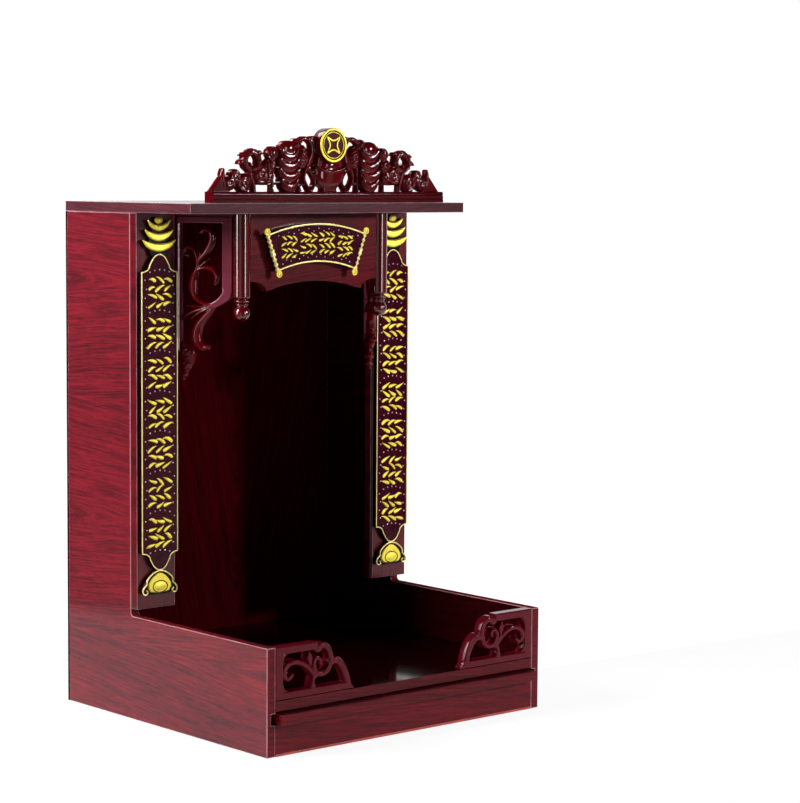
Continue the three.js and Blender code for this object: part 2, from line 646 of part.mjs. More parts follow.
function add(name, geometry, finish, x = 0, y = 0, z = 0) {
  const mesh = new THREE.Mesh(geometry, new THREE.MeshStandardMaterial(finishes[finish]));
  mesh.name = name;
  mesh.position.set(x, y, z);
  cabinet.add(mesh);
}

// A left piece, and its reflection on the right.
function addPair(name, geometry, finish, x = 0, y = 0, z = 0) {
  add(`left_${name}`, geometry, finish, -x, y, z);
  add(`right_${name}`, mirrored(geometry), finish, x, y, z);
}

const between = [SEAM - innerHalf, innerHalf - SEAM];
addPair('side_panel', leftSidePanel(), 'veneer');
const across = [-WIDTH / 2, WIDTH / 2];
add('back_panel', block(across, [SIDE_DEPTH + SEAM, fullDepth], [0, SIDE_HEIGHT]), 'veneer');
add('roof_board', block(across, [ROOF_SETBACK, fullDepth], [roofUnderside, roofTop]), 'board');
add('deck_board', block(between, [0, SIDE_DEPTH], [DECK_TOP - DECK_T, DECK_TOP]), 'board');
add('bottom_board', block(between, [0, SIDE_DEPTH], [0, BOTTOM_T]), 'veneer');
add('front_skirt', block(between, [0, SKIRT_T], [BOTTOM_T + SEAM, trayBottom - SKIRT_PLAY]), 'board');
add('pull_out_tray', pullOutTray(), 'board');
addPair('jamb', leftJamb(), 'board');
addPair('couplet_plaque', stand(coupletPlaque(), 0, 0, 0), 'carved', jambX, jambFront - SEAM);
addPair('hanging_post', hangingPost(), 'carved', POST_X, POST_Y, underRoof - SEAM);
add('transom_board', transom(), 'board');
const scrollBack = POST_Y - TRANSOM_PROUD - SEAM;
const scrollTop = underRoof - SCROLL_TOP_DROP;
add('scroll_plaque', stand(scrollPlaque(), 0, 0, 0), 'carved', SCROLL_OFFSET, scrollBack, scrollTop);
addPair('bracket', leftBracket(), 'carved');
addPair('fence', stand(fence(), 0, 0, 0), 'carved', innerHalf - SEAM, FENCE_T, DECK_TOP + SEAM);
add('crest', crest(), 'carved', 0, ROOF_SETBACK + CREST_SETBACK, roofTop + SEAM);

export default cabinet;
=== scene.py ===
import math

import bpy
import numpy as np
from mathutils import Matrix, Vector


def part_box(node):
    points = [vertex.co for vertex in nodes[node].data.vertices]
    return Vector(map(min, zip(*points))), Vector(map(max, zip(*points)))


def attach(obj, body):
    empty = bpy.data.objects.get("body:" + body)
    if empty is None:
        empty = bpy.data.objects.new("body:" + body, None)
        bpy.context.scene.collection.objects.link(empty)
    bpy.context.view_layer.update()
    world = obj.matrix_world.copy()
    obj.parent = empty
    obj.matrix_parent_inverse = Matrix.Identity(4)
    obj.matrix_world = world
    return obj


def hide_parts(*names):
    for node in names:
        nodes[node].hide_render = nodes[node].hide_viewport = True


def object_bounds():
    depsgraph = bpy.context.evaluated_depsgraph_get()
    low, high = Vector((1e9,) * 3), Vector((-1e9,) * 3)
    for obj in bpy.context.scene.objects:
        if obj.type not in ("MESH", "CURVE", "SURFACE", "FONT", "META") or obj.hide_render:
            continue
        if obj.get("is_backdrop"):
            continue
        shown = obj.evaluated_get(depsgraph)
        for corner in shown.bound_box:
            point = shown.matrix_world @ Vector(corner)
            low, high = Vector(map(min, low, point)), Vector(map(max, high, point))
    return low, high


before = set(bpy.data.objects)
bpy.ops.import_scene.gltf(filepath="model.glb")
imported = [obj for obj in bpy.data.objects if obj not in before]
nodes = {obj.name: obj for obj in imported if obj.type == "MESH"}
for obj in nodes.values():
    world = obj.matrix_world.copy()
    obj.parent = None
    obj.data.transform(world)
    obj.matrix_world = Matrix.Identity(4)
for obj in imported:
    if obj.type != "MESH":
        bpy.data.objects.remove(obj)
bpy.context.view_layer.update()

MM = 0.001
CELL = 0.65  # Of the carvings' grids.
GAP = 0.3  # Between pieces that touch.
SOFT = 80  # Degrees up to which the edges of a tube are shaded smooth.


# Curves. All drawn sizes are millimetres; a carving is drawn with x across, y up and z towards the viewer.

def smooth_curve(points, count):
    """A number of points along a centripetal Catmull-Rom curve."""
    p = np.array(points, float)
    p = np.vstack([2 * p[0] - p[1], p, 2 * p[-1] - p[-2]])
    out = []
    spans = len(points) - 1
    for i in range(count):
        at = i / (count - 1) * spans
        k = min(int(at), spans - 1)
        w = at - k
        a, b, c, d = p[k:k + 4]
        ab, bc, cd = (max(np.linalg.norm(q - r), 1e-4) ** 0.5 for q, r in ((b, a), (c, b), (d, c)))
        m1 = ((b - a) / ab - (c - a) / (ab + bc) + (c - b) / bc) * bc
        m2 = ((c - b) / bc - (d - b) / (bc + cd) + (d - c) / cd) * bc
        out.append((2 * w ** 3 - 3 * w ** 2 + 1) * b + (w ** 3 - 2 * w ** 2 + w) * m1
                   + (3 * w ** 2 - 2 * w ** 3) * c + (w ** 3 - w ** 2) * m2)
    return np.array(out)


def spiral(centre, radii, start, sweep, count=9):
    """Points on a spiral from the first radius to the second; angles in degrees."""
    angles = np.radians(start + sweep * np.linspace(0, 1, count))
    r = np.linspace(radii[0], radii[1], count)
    return list(zip(centre[0] + r * np.cos(angles), centre[1] + r * np.sin(angles)))


def arc(centre, radii, start, sweep, count=9):
    """Points on an oval's arc; radii across and up, angles in degrees."""
    angles = np.radians(start + sweep * np.linspace(0, 1, count))
    return list(zip(centre[0] + radii[0] * np.cos(angles), centre[1] + radii[1] * np.sin(angles)))


def oval(centre, radii, count):
    """Points round an oval."""
    return arc(centre, radii, 0, 360, count + 1)[:-1]


def bow(centre, half, share, rises):
    """Five points of a symmetric bow; rises are the heights of its ends, shoulders and middle."""
    end, shoulder, middle = rises
    return [(centre[0] + s * half, centre[1] + rise) for s, rise in
            ((-1, end), (-share, shoulder), (0, middle), (share, shoulder), (1, end))]


def reflected(points):
    """A symmetric outline from its right half, which starts and ends on the axis."""
    return points + [(-x, y) for x, y in reversed(points) if abs(x) > 1e-6]


# Carving as a field on a grid.

EMPTY = -50.0  # Height and distance of a cell that nothing has been put in.
FAR = 1e9
THINNEST = 0.35  # Half width of a stroke.
GROOVE_AT, GROOVE_WIDTH = 0.45, 0.1  # As shares of a stroke's half width.
GROOVED_FROM = 1.6  # Half width of a stroke.


def from_segment(x, y, a, ab):
    """The share of a segment at its nearest point to each cell, and the distance to that point."""
    s = (((x - a[0]) * ab[0] + (y - a[1]) * ab[1]) / max(ab @ ab, 1e-9)).clip(0, 1)
    return s, np.hypot(x - a[0] - s * ab[0], y - a[1] - s * ab[1])


class Carving:
    """Distance inside the outline and height of the surface, on a grid of square cells."""

    def __init__(self, x, y, cell=CELL):
        self.cell = cell
        self.xs = np.arange(x[0] - 2 * cell, x[1] + 2 * cell, cell)
        self.ys = np.arange(y[0] - 2 * cell, y[1] + 2 * cell, cell)
        self.inside, self.top, self.rim = (np.full((len(self.ys), len(self.xs)), EMPTY) for _ in range(3))

    def part(self, points, reach):
        """Slices of the cells within reach of the points, with the cells' x and y."""
        margin = 3 * self.cell
        low, high = np.min(points, 0) - reach, np.max(points, 0) + reach
        i = slice(*np.searchsorted(self.ys, (low[1] - margin, high[1] + margin)))
        j = slice(*np.searchsorted(self.xs, (low[0] - margin, high[0] + margin)))
        return i, j, *np.meshgrid(self.xs[j], self.ys[i])

    def put(self, i, j, distance, height):
        here = distance > 0
        self.top[i, j] = np.where(here, np.maximum(self.top[i, j], height), self.top[i, j])
        self.rim[i, j] = np.where(~here, np.maximum(self.rim[i, j], height), self.rim[i, j])
        self.inside[i, j] = np.maximum(self.inside[i, j], distance)

    def stroke(self, points, widths, edge, crown, steps=60, groove=0.0, power=0.6, flat=0.0):
        """A band with a rounded top along a curve; groove cuts a fine line on both sides of its middle."""
        line = smooth_curve(points, steps)
        w = smooth_curve(list(enumerate(widths)), steps)[:, 1].clip(THINNEST)
        i, j, x, y = self.part(line, w.max())
        best = np.full(x.shape, FAR)
        width = np.ones(x.shape)
        for k in range(steps - 1):
            s, dist = from_segment(x, y, line[k], line[k + 1] - line[k])
            near_w = w[k] + s * (w[k + 1] - w[k])
            closer = dist / near_w < best / width
            best = np.where(closer, dist, best)
            width = np.where(closer, near_w, width)
        t = (best / width).clip(0, 1)
        t = ((t - flat) / (1 - flat)).clip(0, 1)
        height = edge + (crown - edge) * (1 - t * t) ** power
        if groove:
            height -= groove * np.exp(-((t - GROOVE_AT) / GROOVE_WIDTH) ** 2) * (width > GROOVED_FROM)
        self.put(i, j, width - best, height)

    def boss(self, centre, radii, edge, crown, swirl=0.0, turns=2.0, power=0.6, hand=1):
        """A domed oval; swirl cuts a spiral line into it."""
        i, j, x, y = self.part([centre], radii)
        dx, dy = (x - centre[0]) / radii[0], (y - centre[1]) / radii[1]
        t = np.hypot(dx, dy)
        height = edge + (crown - edge) * (1 - t.clip(0, 1) ** 2) ** power
        if swirl:
            phase = np.cos(2 * np.pi * turns * t - hand * np.arctan2(dy, dx))
            height -= swirl * ((phase + 1) / 2) ** 5 * (t > 0.12)
        self.put(i, j, (1 - t) * min(radii), height)

    def shape(self, points, edge, crown, fillet=1.2):
        """A flat-topped plate with rounded edges."""
        p = np.array(points, float)
        i, j, x, y = self.part(p, 0)
        distance = polygon_distance(p, x, y)
        t = (1 - distance / fillet).clip(0, 1)
        self.put(i, j, distance, edge + (crown - edge) * (1 - t * t) ** 0.5)

    def plate(self, x, y, edge, crown, fillet=1.2):
        """A rectangle with rounded edges."""
        self.shape([(x[0], y[0]), (x[1], y[0]), (x[1], y[1]), (x[0], y[1])], edge, crown, fillet)

    def keep(self, test):
        """Clips the outline to where test(x, y) is positive."""
        x, y = np.meshgrid(self.xs, self.ys)
        self.inside = np.minimum(self.inside, test(x, y))

    def lines(self, points, depth, width=0.7, steps=40):
        """A fine engraved line along a curve."""
        line = smooth_curve(points, steps)
        i, j, x, y = self.part(line, 2)
        best = np.full(x.shape, FAR)
        for a in line:
            best = np.minimum(best, np.hypot(x - a[0], y - a[1]))
        self.top[i, j] -= depth * np.exp(-(best / width) ** 2)

    def mirror(self):
        """Joins the field with its reflection in x; the grid has to be centred."""
        for name in ("inside", "top", "rim"):
            field = getattr(self, name)
            setattr(self, name, np.maximum(field, field[:, ::-1]))

    def solid(self, both=False):
        """Vertices, faces, and whether each face is front 0, wall 1 or back 2; both carves the back too."""
        inside = self.inside > 0
        x, y = np.meshgrid(self.xs, self.ys)
        z = np.where(inside, self.top, np.where(self.rim > EMPTY, self.rim, 0))
        ids = np.full(inside.shape, -1)
        ids[inside] = np.arange(inside.sum())
        points = [np.stack([x[inside], y[inside], z[inside]], 1)]
        total = int(inside.sum())

        def crossings(a, b):
            nonlocal total
            mask = inside[a] != inside[b]
            d0, d1 = self.inside[a][mask], self.inside[b][mask]
            t = (d0 / (d0 - d1)).clip(0.03, 0.97)
            points.append(np.stack([v[a][mask] * (1 - t) + v[b][mask] * t for v in (x, y, z)], 1))
            found = np.full(mask.shape, -1)
            found[mask] = total + np.arange(mask.sum())
            total += int(mask.sum())
            return found

        every, first, last = slice(None), slice(None, -1), slice(1, None)
        across = crossings((every, first), (every, last))
        up = crossings((first, every), (last, every))
        corners = np.stack([ids[:-1, :-1], ids[:-1, 1:], ids[1:, 1:], ids[1:, :-1]], -1)
        full = (corners >= 0).all(-1)
        front = corners[full].tolist()
        walls = []
        for i, j in zip(*np.nonzero(~full & (corners >= 0).any(-1))):
            edges = (across[i, j], up[i, j + 1], across[i + 1, j], up[i, j])
            ring = []
            for k in range(4):
                if corners[i, j, k] >= 0:
                    ring.append((int(corners[i, j, k]), False))
                if edges[k] >= 0:
                    ring.append((int(edges[k]), True))
            front.append([v for v, _ in ring])
            for (a, on_a), (b, on_b) in zip(ring, ring[1:] + ring[:1]):
                if on_a and on_b:
                    walls.append([b, a, a + total, b + total])
        face = np.vstack(points)
        rear = face.copy()
        rear[:, 2] = -face[:, 2] if both else 0
        faces = front + walls + [[v + total for v in reversed(f)] for f in front]
        kinds = [0] * len(front) + [1] * len(walls) + [2] * len(front)
        return np.vstack([face, rear]), faces, kinds


def polygon_distance(p, x, y):
    """Distance to a polygon's outline, positive inside."""
    best = np.full(x.shape, FAR)
    odd = np.zeros(x.shape, bool)
    for a, b in zip(p, np.roll(p, -1, 0)):
        ab = b - a
        best = np.minimum(best, from_segment(x, y, a, ab)[1])
        if a[1] != b[1]:
            odd ^= ((a[1] > y) != (b[1] > y)) & (x < ab[0] * (y - a[1]) / (b[1] - a[1]) + a[0])
    return np.where(odd, best, -best)


def normals(p, closed=True):
    """Unit normals on the left of a line."""
    tangent = np.roll(p, -1, 0) - np.roll(p, 1, 0) if closed else np.gradient(p, axis=0)
    tangent /= np.linalg.norm(tangent, axis=1)[:, None].clip(1e-9)
    return np.stack([-tangent[:, 1], tangent[:, 0]], 1)


def strips(rows, n, closed=False):
    """Faces between rows of n points, each row closed in itself."""
    return [[r * n + k, r * n + (k + 1) % n, (r + 1) % rows * n + (k + 1) % n, (r + 1) % rows * n + k]
            for r in range(rows if closed else rows - 1) for k in range(n)]


def tube(points, half_width, half_height, z, closed=False, sides=8):
    """A line with an oval section that follows the points at height z."""
    p = np.array(points, float)
    n = len(p)
    normal = normals(p, closed)
    w = np.broadcast_to(np.asarray(half_width, float), (n,))
    h = np.broadcast_to(np.asarray(half_height, float), (n,))
    turns = [2 * math.pi * s / sides for s in range(sides)]
    verts = [(*(p[k] + normal[k] * math.cos(a) * w[k]), z + math.sin(a) * h[k])
             for k in range(n) for a in turns]
    faces = [[b, a, d, c] for a, b, c, d in strips(n, sides, closed)]
    if not closed:
        faces += [list(range(sides)), [(n - 1) * sides + s for s in reversed(range(sides))]]
    return np.array(verts), faces, [0] * len(faces)


def turned(profile, sides=64):
    """A solid of revolution about z from (radius, height) pairs that start and end on the axis."""
    verts, faces, rings = [], [], []
    for r, h in profile:
        on_axis = r < 1e-6
        rings.append([len(verts)] * sides if on_axis else list(range(len(verts), len(verts) + sides)))
        verts += [(r * math.cos(2 * math.pi * s / sides), r * math.sin(2 * math.pi * s / sides), h)
                  for s in range(1 if on_axis else sides)]
    for low, high in zip(rings, rings[1:]):
        for s in range(sides):
            n = (s + 1) % sides
            faces.append(list(dict.fromkeys((low[s], low[n], high[n], high[s]))))
    return np.array(verts), faces, [0] * len(faces)


def merged(*meshes):
    verts, faces, kinds = [], [], []
    start = 0
    for v, f, k in meshes:
        verts.append(v)
        faces += [[i + start for i in face] for face in f]
        kinds += k
        start += len(v)
    return np.vstack(verts), faces, kinds


def piece(name, mesh, place, materials, node=None, flip=False, kinds=(0, 0, 0), sharp=38):
    """Makes an object from a drawn mesh. place maps drawn points to the row frame, in millimetres;
    kinds gives the materials of front, wall and back."""
    verts, faces, sorts = mesh
    world = place(np.asarray(verts, float)) * MM
    if flip:
        world = world * (-1, 1, 1)
        faces = [f[::-1] for f in faces]
    data = bpy.data.meshes.new(name)
    data.from_pydata(world.tolist(), [], faces)
    for m in materials:
        data.materials.append(m)
    data.polygons.foreach_set("material_index", [kinds[k] for k in sorts])
    data.polygons.foreach_set("use_smooth", [True] * len(faces))
    data.update()
    data.set_sharp_from_angle(angle=math.radians(sharp))
    made = bpy.data.objects.new(name, data)
    bpy.context.scene.collection.objects.link(made)
    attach(made, "cabinet")
    if node:
        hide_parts(node)


def upright(x0, back, z0):
    """Drawn x, y, z to the row frame: y becomes height and z comes towards the viewer."""
    return lambda v: np.stack([v[:, 0] + x0, back - v[:, 2], v[:, 1] + z0], 1)


# Materials.

class Net:
    """Short forms for building a node tree."""

    def __init__(self, tree):
        self.tree = tree

    def fill(self, node, inputs):
        """Links or sets a node's inputs, which are given by name or number."""
        for key, value in inputs.items():
            if isinstance(value, bpy.types.NodeSocket):
                self.tree.links.new(value, node.inputs[key])
            else:
                node.inputs[key].default_value = value

    def node(self, kind, inputs, **settings):
        n = self.tree.nodes.new(kind)
        for key, value in settings.items():
            setattr(n, key, value)
        self.fill(n, inputs)
        return n

    def math(self, operation, *values):
        return self.node("ShaderNodeMath", dict(enumerate(values)), operation=operation).outputs[0]

    def times(self, a, b):
        return self.math("MULTIPLY", a, b)

    def plus(self, a, b):
        return self.math("ADD", a, b)

    def swing(self, noise, amount):
        """A noise about zero, times an amount."""
        return self.times(self.math("SUBTRACT", noise, 0.5), amount)

    def about(self, middle, noise, amount):
        """A noise from 0 to an amount, moved to wander about a middle value."""
        return self.plus(self.times(noise, amount), middle - amount / 2)

    def ramp(self, value, *stops):
        n = self.node("ShaderNodeValToRGB", {0: value})
        e = n.color_ramp.elements
        while len(e) < len(stops):
            e.new(0.5)
        for k, (at, colour) in enumerate(stops):
            e[k].position = at
            e[k].color = (*colour, 1)
        return n.outputs[0]

    def greys(self, value, *stops):
        return self.ramp(value, *((at, (v, v, v)) for at, v in stops))

    def mix(self, kind, a, b):
        return self.node("ShaderNodeMix", {0: 1.0, 6: a, 7: b}, data_type="RGBA", blend_type=kind).outputs[2]

    def noise(self, vector, scale, detail=4.0, rough=0.55):
        return self.node("ShaderNodeTexNoise", {"Vector": vector, "Scale": scale, "Detail": detail,
                                                "Roughness": rough}).outputs[0]

    def joined(self, *values):
        return self.node("ShaderNodeCombineXYZ", dict(enumerate(values))).outputs[0]

    def stretched(self, coords, along, across, through):
        """Coordinates scaled by one factor along each axis."""
        return self.node("ShaderNodeMapping", {0: coords, "Scale": (along, across, through)}).outputs[0]

    def bump(self, height, strength, distance):
        return self.node("ShaderNodeBump", {"Height": height, "Strength": strength,
                                            "Distance": distance}).outputs[0]


def material(name):
    """A new material, its Net, its shader and its object coordinates."""
    m = bpy.data.materials.new(name)
    m.use_nodes = True
    net = Net(m.node_tree)
    return m, net, m.node_tree.nodes["Principled BSDF"], net.node("ShaderNodeTexCoord", {}).outputs["Object"]


def veneer(name, axes, figure, light, dark, shift, gloss, shine):
    """Lacquered rosewood veneer. axes gives the row axes that run along, across and through the
    grain; figure is (place of a flame's axis across the grain, pitch of the flames, how fast they
    narrow along it), in metres."""
    m, net, shader, coords = material(name)
    split = net.node("ShaderNodeSeparateXYZ", {0: coords})
    along, across, through = (split.outputs[a] for a in axes)
    along = net.plus(along, shift)
    laid = net.joined(along, across, through)
    centre, pitch, taper = figure
    bend = net.swing(net.noise(net.stretched(laid, 4.0, 7.0, 2.0), 1.0, 3.0), 0.016)
    from_axis = net.math("PINGPONG", net.plus(net.math("SUBTRACT", across, centre), bend), pitch / 2)
    ring = net.math("SQRT", net.plus(net.times(from_axis, from_axis), 0.00008))
    ring = net.math("SUBTRACT", ring, net.times(along, taper))
    ripple = net.noise(net.stretched(laid, 18.0, 50.0, 6.0), 1.0, 4.0, 0.6)
    ring = net.plus(ring, net.swing(ripple, 0.0028))
    lines = net.noise(net.joined(net.times(ring, 420.0), net.times(along, 14.0), 0.0), 1.0, 4.0, 0.6)
    bands = net.noise(net.joined(net.times(ring, 90.0), net.times(along, 3.0), 4.0), 1.0, 3.0, 0.5)
    pores = net.noise(net.stretched(laid, 60.0, 1100.0, 300.0), 1.0, 2.0, 0.6)
    cloud = net.noise(net.stretched(laid, 5.0, 10.0, 5.0), 1.0, 3.0)
    depth = net.swing(lines, 1.9)
    for layer, share in ((bands, 0.65), (cloud, 0.7), (pores, 1.0)):
        depth = net.plus(depth, net.swing(layer, share))
    middle = tuple(0.6 * a + 0.4 * b for a, b in zip(light, dark))
    net.fill(shader, {
        "Base Color": net.ramp(net.plus(depth, 0.4), (0.1, tuple(v * 1.12 for v in light)), (0.4, middle),
                               (0.85, dark)),
        "Roughness": net.about(gloss, net.noise(coords, 9.0, 3.0), 0.07),
        "Specular IOR Level": shine,
        "Normal": net.bump(pores, 0.05, 0.0002)})
    return m


def lacquer(name, colour, deep, gloss, grain=0.5, shine=0.4):
    """Glossy dark lacquer with faint unevenness."""
    m, net, shader, coords = material(name)
    net.fill(shader, {
        "Base Color": net.ramp(net.noise(coords, 55.0), (0.3, deep), (0.7, colour)),
        "Roughness": net.about(gloss, net.noise(coords, 240.0, 2.0), 0.06),
        "Specular IOR Level": shine,
        "Normal": net.bump(net.noise(coords, 420.0, 2.0), 0.12 * grain, 0.0006)})
    return m


def paint(name, bright, shade, gloss):
    """Gold paint with a slightly uneven coat."""
    m, net, shader, coords = material(name)
    patch = net.noise(coords, 260.0)
    net.fill(shader, {
        "Base Color": net.ramp(patch, (0.3, shade), (0.62, bright)),
        "Roughness": net.about(gloss, patch, 0.2),
        "Metallic": 0.55,
        "Normal": net.bump(net.noise(coords, 900.0, 2.0), 0.3, 0.0004)})
    return m


def sparkling(name, colour, glint):
    """Stippled dark ground of the plaques."""
    m, net, shader, coords = material(name)
    cells = net.node("ShaderNodeTexVoronoi", {"Vector": coords, "Scale": 260.0}, feature="SMOOTH_F1")
    cloud = net.noise(coords, 130.0, 3.0)
    net.fill(shader, {
        "Base Color": net.ramp(cloud, (0.35, colour), (0.7, glint)),
        "Roughness": net.about(0.08, cloud, 0.04),
        "Specular IOR Level": 0.14,
        "Normal": net.bump(net.greys(cells.outputs["Distance"], (0.1, 1), (0.55, 0)), 0.1, 0.0006)})
    return m


# Darkens colours; deepens the painted shade of the niche's inner faces and deck.
def dimmed(colours, share):
    return [tuple(v * share for v in colour) for colour in colours]


X, Y, Z = 0, 1, 2
RED = (0.225, 0.014, 0.024), (0.065, 0.011, 0.016)
# The side veneer's red, darkened to paint the shade on the fronts, tops and jambs that face away from the
# side light.
SHADED_FRONT_RED = (0.155, 0.007, 0.013), (0.055, 0.006, 0.009)
BROWN = (0.12, 0.03, 0.04), (0.07, 0.019, 0.026)
# SHADE paints the niche's shade: the back, inner faces and deck are the same veneer, darkened where little
# light reaches.
SHADE = (0.062, 0.0012, 0.0035), (0.024, 0.0007, 0.0014)
side_veneer = veneer("side_veneer", (Y, Z, X), (0.235, 0.285, 0.07), *RED, 0.0, 0.1, 0.27)
inner_veneer = veneer("inner_veneer", (Y, Z, X), (0.3, 0.285, -0.2), *dimmed(SHADE, 0.55), 0.4, 0.3, 0.06)
top_veneer = veneer("top_veneer", (Y, X, Z), (0.9, 0.4, 0.1), *SHADED_FRONT_RED, 0.4, 0.4, 0.0)
back_veneer = veneer("back_veneer", (Z, X, Y), (0.05, 0.3, 0.2), *SHADE, 0.3, 0.4, 0.0)
deck_veneer = veneer("deck_veneer", (Y, X, Z), (0.05, 0.3, 0.2), *dimmed(SHADE, 0.2), 0.7, 0.08, 0.2)
front_veneer = veneer("front_veneer", (X, Z, Y), (0.9, 0.4, 0.1), *SHADED_FRONT_RED, 0.5, 0.2, 0.11)
roof_veneer = veneer("roof_veneer", (X, Z, Y), (0.9, 0.4, 0.1), *BROWN, 0.1, 0.18, 0.14)
roof_top_veneer = veneer("roof_top_veneer", (X, Y, Z), (0.0, 0.3, 0.1), *BROWN, 0.1, 0.18, 0.14)
tray_top_veneer = veneer("tray_top_veneer", (X, Y, Z), (0.0, 0.3, 0.1), *SHADED_FRONT_RED, 0.5, 0.2, 0.11)
roof_end_veneer = veneer("roof_end_veneer", (Y, Z, X), (0.9, 0.4, 0.1), *BROWN, 0.6, 0.18, 0.25)
jamb_veneer = veneer("jamb_veneer", (Z, X, Y), (0.0, 0.4, 0.1), *SHADED_FRONT_RED, 0.2, 0.18, 0.35)
wine = lacquer("wine_lacquer", (0.14, 0.002, 0.005), (0.095, 0.001, 0.0035), 0.08, shine=0.27)
bright_wine = lacquer("bright_wine_lacquer", (0.12, 0.0018, 0.004), (0.085, 0.001, 0.003), 0.1, 0.25, 0.8)
flat_wine = lacquer("flat_wine_lacquer", (0.1, 0.0015, 0.006), (0.075, 0.001, 0.004), 0.12, shine=0.16)
fence_wine = lacquer("fence_lacquer", (0.125, 0.004, 0.012), (0.095, 0.003, 0.009), 0.08, shine=0.16)
# Wine lacquer lightened to pink-purple, painting the pale reflection on the bracket frame's flats.
rosy_reflection = lacquer("rosy_painted_reflection", (0.2, 0.03, 0.055), (0.16, 0.022, 0.042), 0.16, shine=0.4)
# Pale pink on the side panels' eased edges paints highlight lines along them; the brad heads share it.
pink_highlight_edge = lacquer("painted_highlight_pink_edge", (0.62, 0.3, 0.32), (0.4, 0.15, 0.17), 0.2)
# Pale brown for the boards' eased edges, painting highlight lines along them.
brown_highlight_edge = lacquer("painted_highlight_brown_edge", (0.42, 0.24, 0.27), (0.22, 0.1, 0.12), 0.2)
ply = lacquer("plywood_edge", (0.5, 0.07, 0.045), (0.32, 0.03, 0.025), 0.5)
# Near black: on the sides and walls of the plaques, ingots and drop it paints their shade; the drop's ring is
# dark lacquer.
dark_and_shade = lacquer("dark_lacquer_and_painted_shade", (0.008, 0.0005, 0.001), (0.005, 0.0003, 0.0005), 0.2, shine=0.15)
ground = sparkling("plaque_ground", (0.04, 0.0012, 0.007), (0.07, 0.0025, 0.015))
gold = paint("gold_paint", (0.98, 0.82, 0.1), (0.9, 0.68, 0.06), 0.5)
# Pale gold: the paint of the scroll's rolls, and as the outlines round the gold it paints the highlights
# along their edges.
pale_gold_and_highlight = paint("pale_gold_and_painted_highlight", (0.98, 0.84, 0.36), (0.92, 0.7, 0.2), 0.4)
# Near white: the beads in it show as bright dots, painting their glints; along the bracket's bar it paints a
# highlight line.
pearl_and_highlight = paint("pearl_and_painted_highlight", (1.0, 0.86, 0.92), (0.9, 0.6, 0.75), 0.3)


# Carcass boards keep their solids, with eased edges and veneer; by default the eased edges are pale, painting
# highlight lines along them.

FACING = 0.7  # Least share of a normal along an axis.
JOIN, FLAT, EDGE = 0.01, 0.2, 30  # Millimetres, degrees, degrees.


def facing(axis, sign=0):
    """A test for faces that look along an axis; a sign of 0 takes both ways."""
    return lambda n: (n[axis] * sign if sign else abs(n[axis])) > FACING


def board(name, cover, bevel=0.5, others=(), edge=brown_highlight_edge):
    """Dresses a board; others are (material, test of the normal) pairs for some of its faces; edge is for the
    eased edges, by default pale to paint highlight lines.
    """
    o = nodes[name]
    o.data.materials.clear()
    for m in (cover, *(m for m, _ in others), edge):
        o.data.materials.append(m)
    for p in o.data.polygons:
        p.use_smooth = False
        p.material_index = next((k + 1 for k, (_, test) in enumerate(others) if test(p.normal)), 0)
    o.modifiers.new("joined_corners", "WELD").merge_threshold = JOIN * MM
    flat = o.modifiers.new("whole_faces", "DECIMATE")
    flat.decimate_type = "DISSOLVE"
    flat.angle_limit = math.radians(FLAT)
    ease = o.modifiers.new("eased_edges", "BEVEL")
    ease.width = bevel * MM
    ease.segments = 3
    ease.limit_method = "ANGLE"
    ease.angle_limit = math.radians(EDGE)
    ease.material = len(others) + 1


front = (front_veneer, facing(Y, -1))
for side, inwards in (("left", 1), ("right", -1)):
    # Their eased edges are pale pink, painting highlight lines.
    board(f"{side}_side_panel", side_veneer, 0.9,
          [(inner_veneer, facing(X, inwards)), front, (top_veneer, facing(Z, 1))], pink_highlight_edge)
    board(f"{side}_jamb", jamb_veneer)
board("back_panel", back_veneer, 0.3, edge=back_veneer)
board("roof_board", roof_veneer, 0.5, [(roof_end_veneer, facing(X)), (roof_top_veneer, facing(Z))])
board("deck_board", deck_veneer, 0.4, [front], front_veneer)
board("bottom_board", ply, 0.3, edge=ply)
board("front_skirt", front_veneer, 0.4, edge=front_veneer)
board("pull_out_tray", front_veneer, 0.5, [(tray_top_veneer, facing(Z))], front_veneer)
board("transom_board", front_veneer, 0.5)


# Sizes read from the solids, in millimetres.

def box_mm(name):
    low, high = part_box(name)
    return np.array(low) / MM, np.array(high) / MM


def both_sides(name, mesh, place, materials, node=None, **more):
    for flip, side in ((False, "left"), (True, "right")):
        piece(f"{side}_{name}", mesh, place, materials, node and f"{side}_{node}", flip, **more)


# Heads of the brads, flush with the side panels' outer faces.

brads = [(-187, 109.5), (-175, 53.7), (-185, 25.2), (-182.5, 10.9), (2.3, 55.3), (184.7, 56.3), (195.9, 11.4),
         (-83, 55)]
head = turned([(0, -0.6), (0.9, -0.6), (0.9, -0.02), (0.6, 0), (0, 0)], 14)
panel_side = -box_mm("left_side_panel")[0][0]
# The brad heads take the pale pink of the painted highlights, so they show as light dots.
for k, (y, z) in enumerate(brads):
    both_sides(f"brad_{k}", head, lambda v: np.stack([-panel_side - v[:, 2], y + v[:, 1], z + v[:, 0]], 1),
               [pink_highlight_edge], sharp=30)


# Hanging posts: a ball, a waist with two collars, and the shaft up to the roof at height 0.

post_low, post_high = box_mm("left_hanging_post")
POST_R, BALL_R, NECK_H = 10.2, 10, 9.5
shaft = -99.5
ball = shaft - NECK_H - 8.0
waist = POST_R * 0.66


def collar(low, height, bulge, step):
    """A rounded ring on the waist."""
    return [(waist + bulge * math.sin(a), low + height * (1 - math.cos(a)) / 2)
            for a in np.radians(range(0, 181, step))]


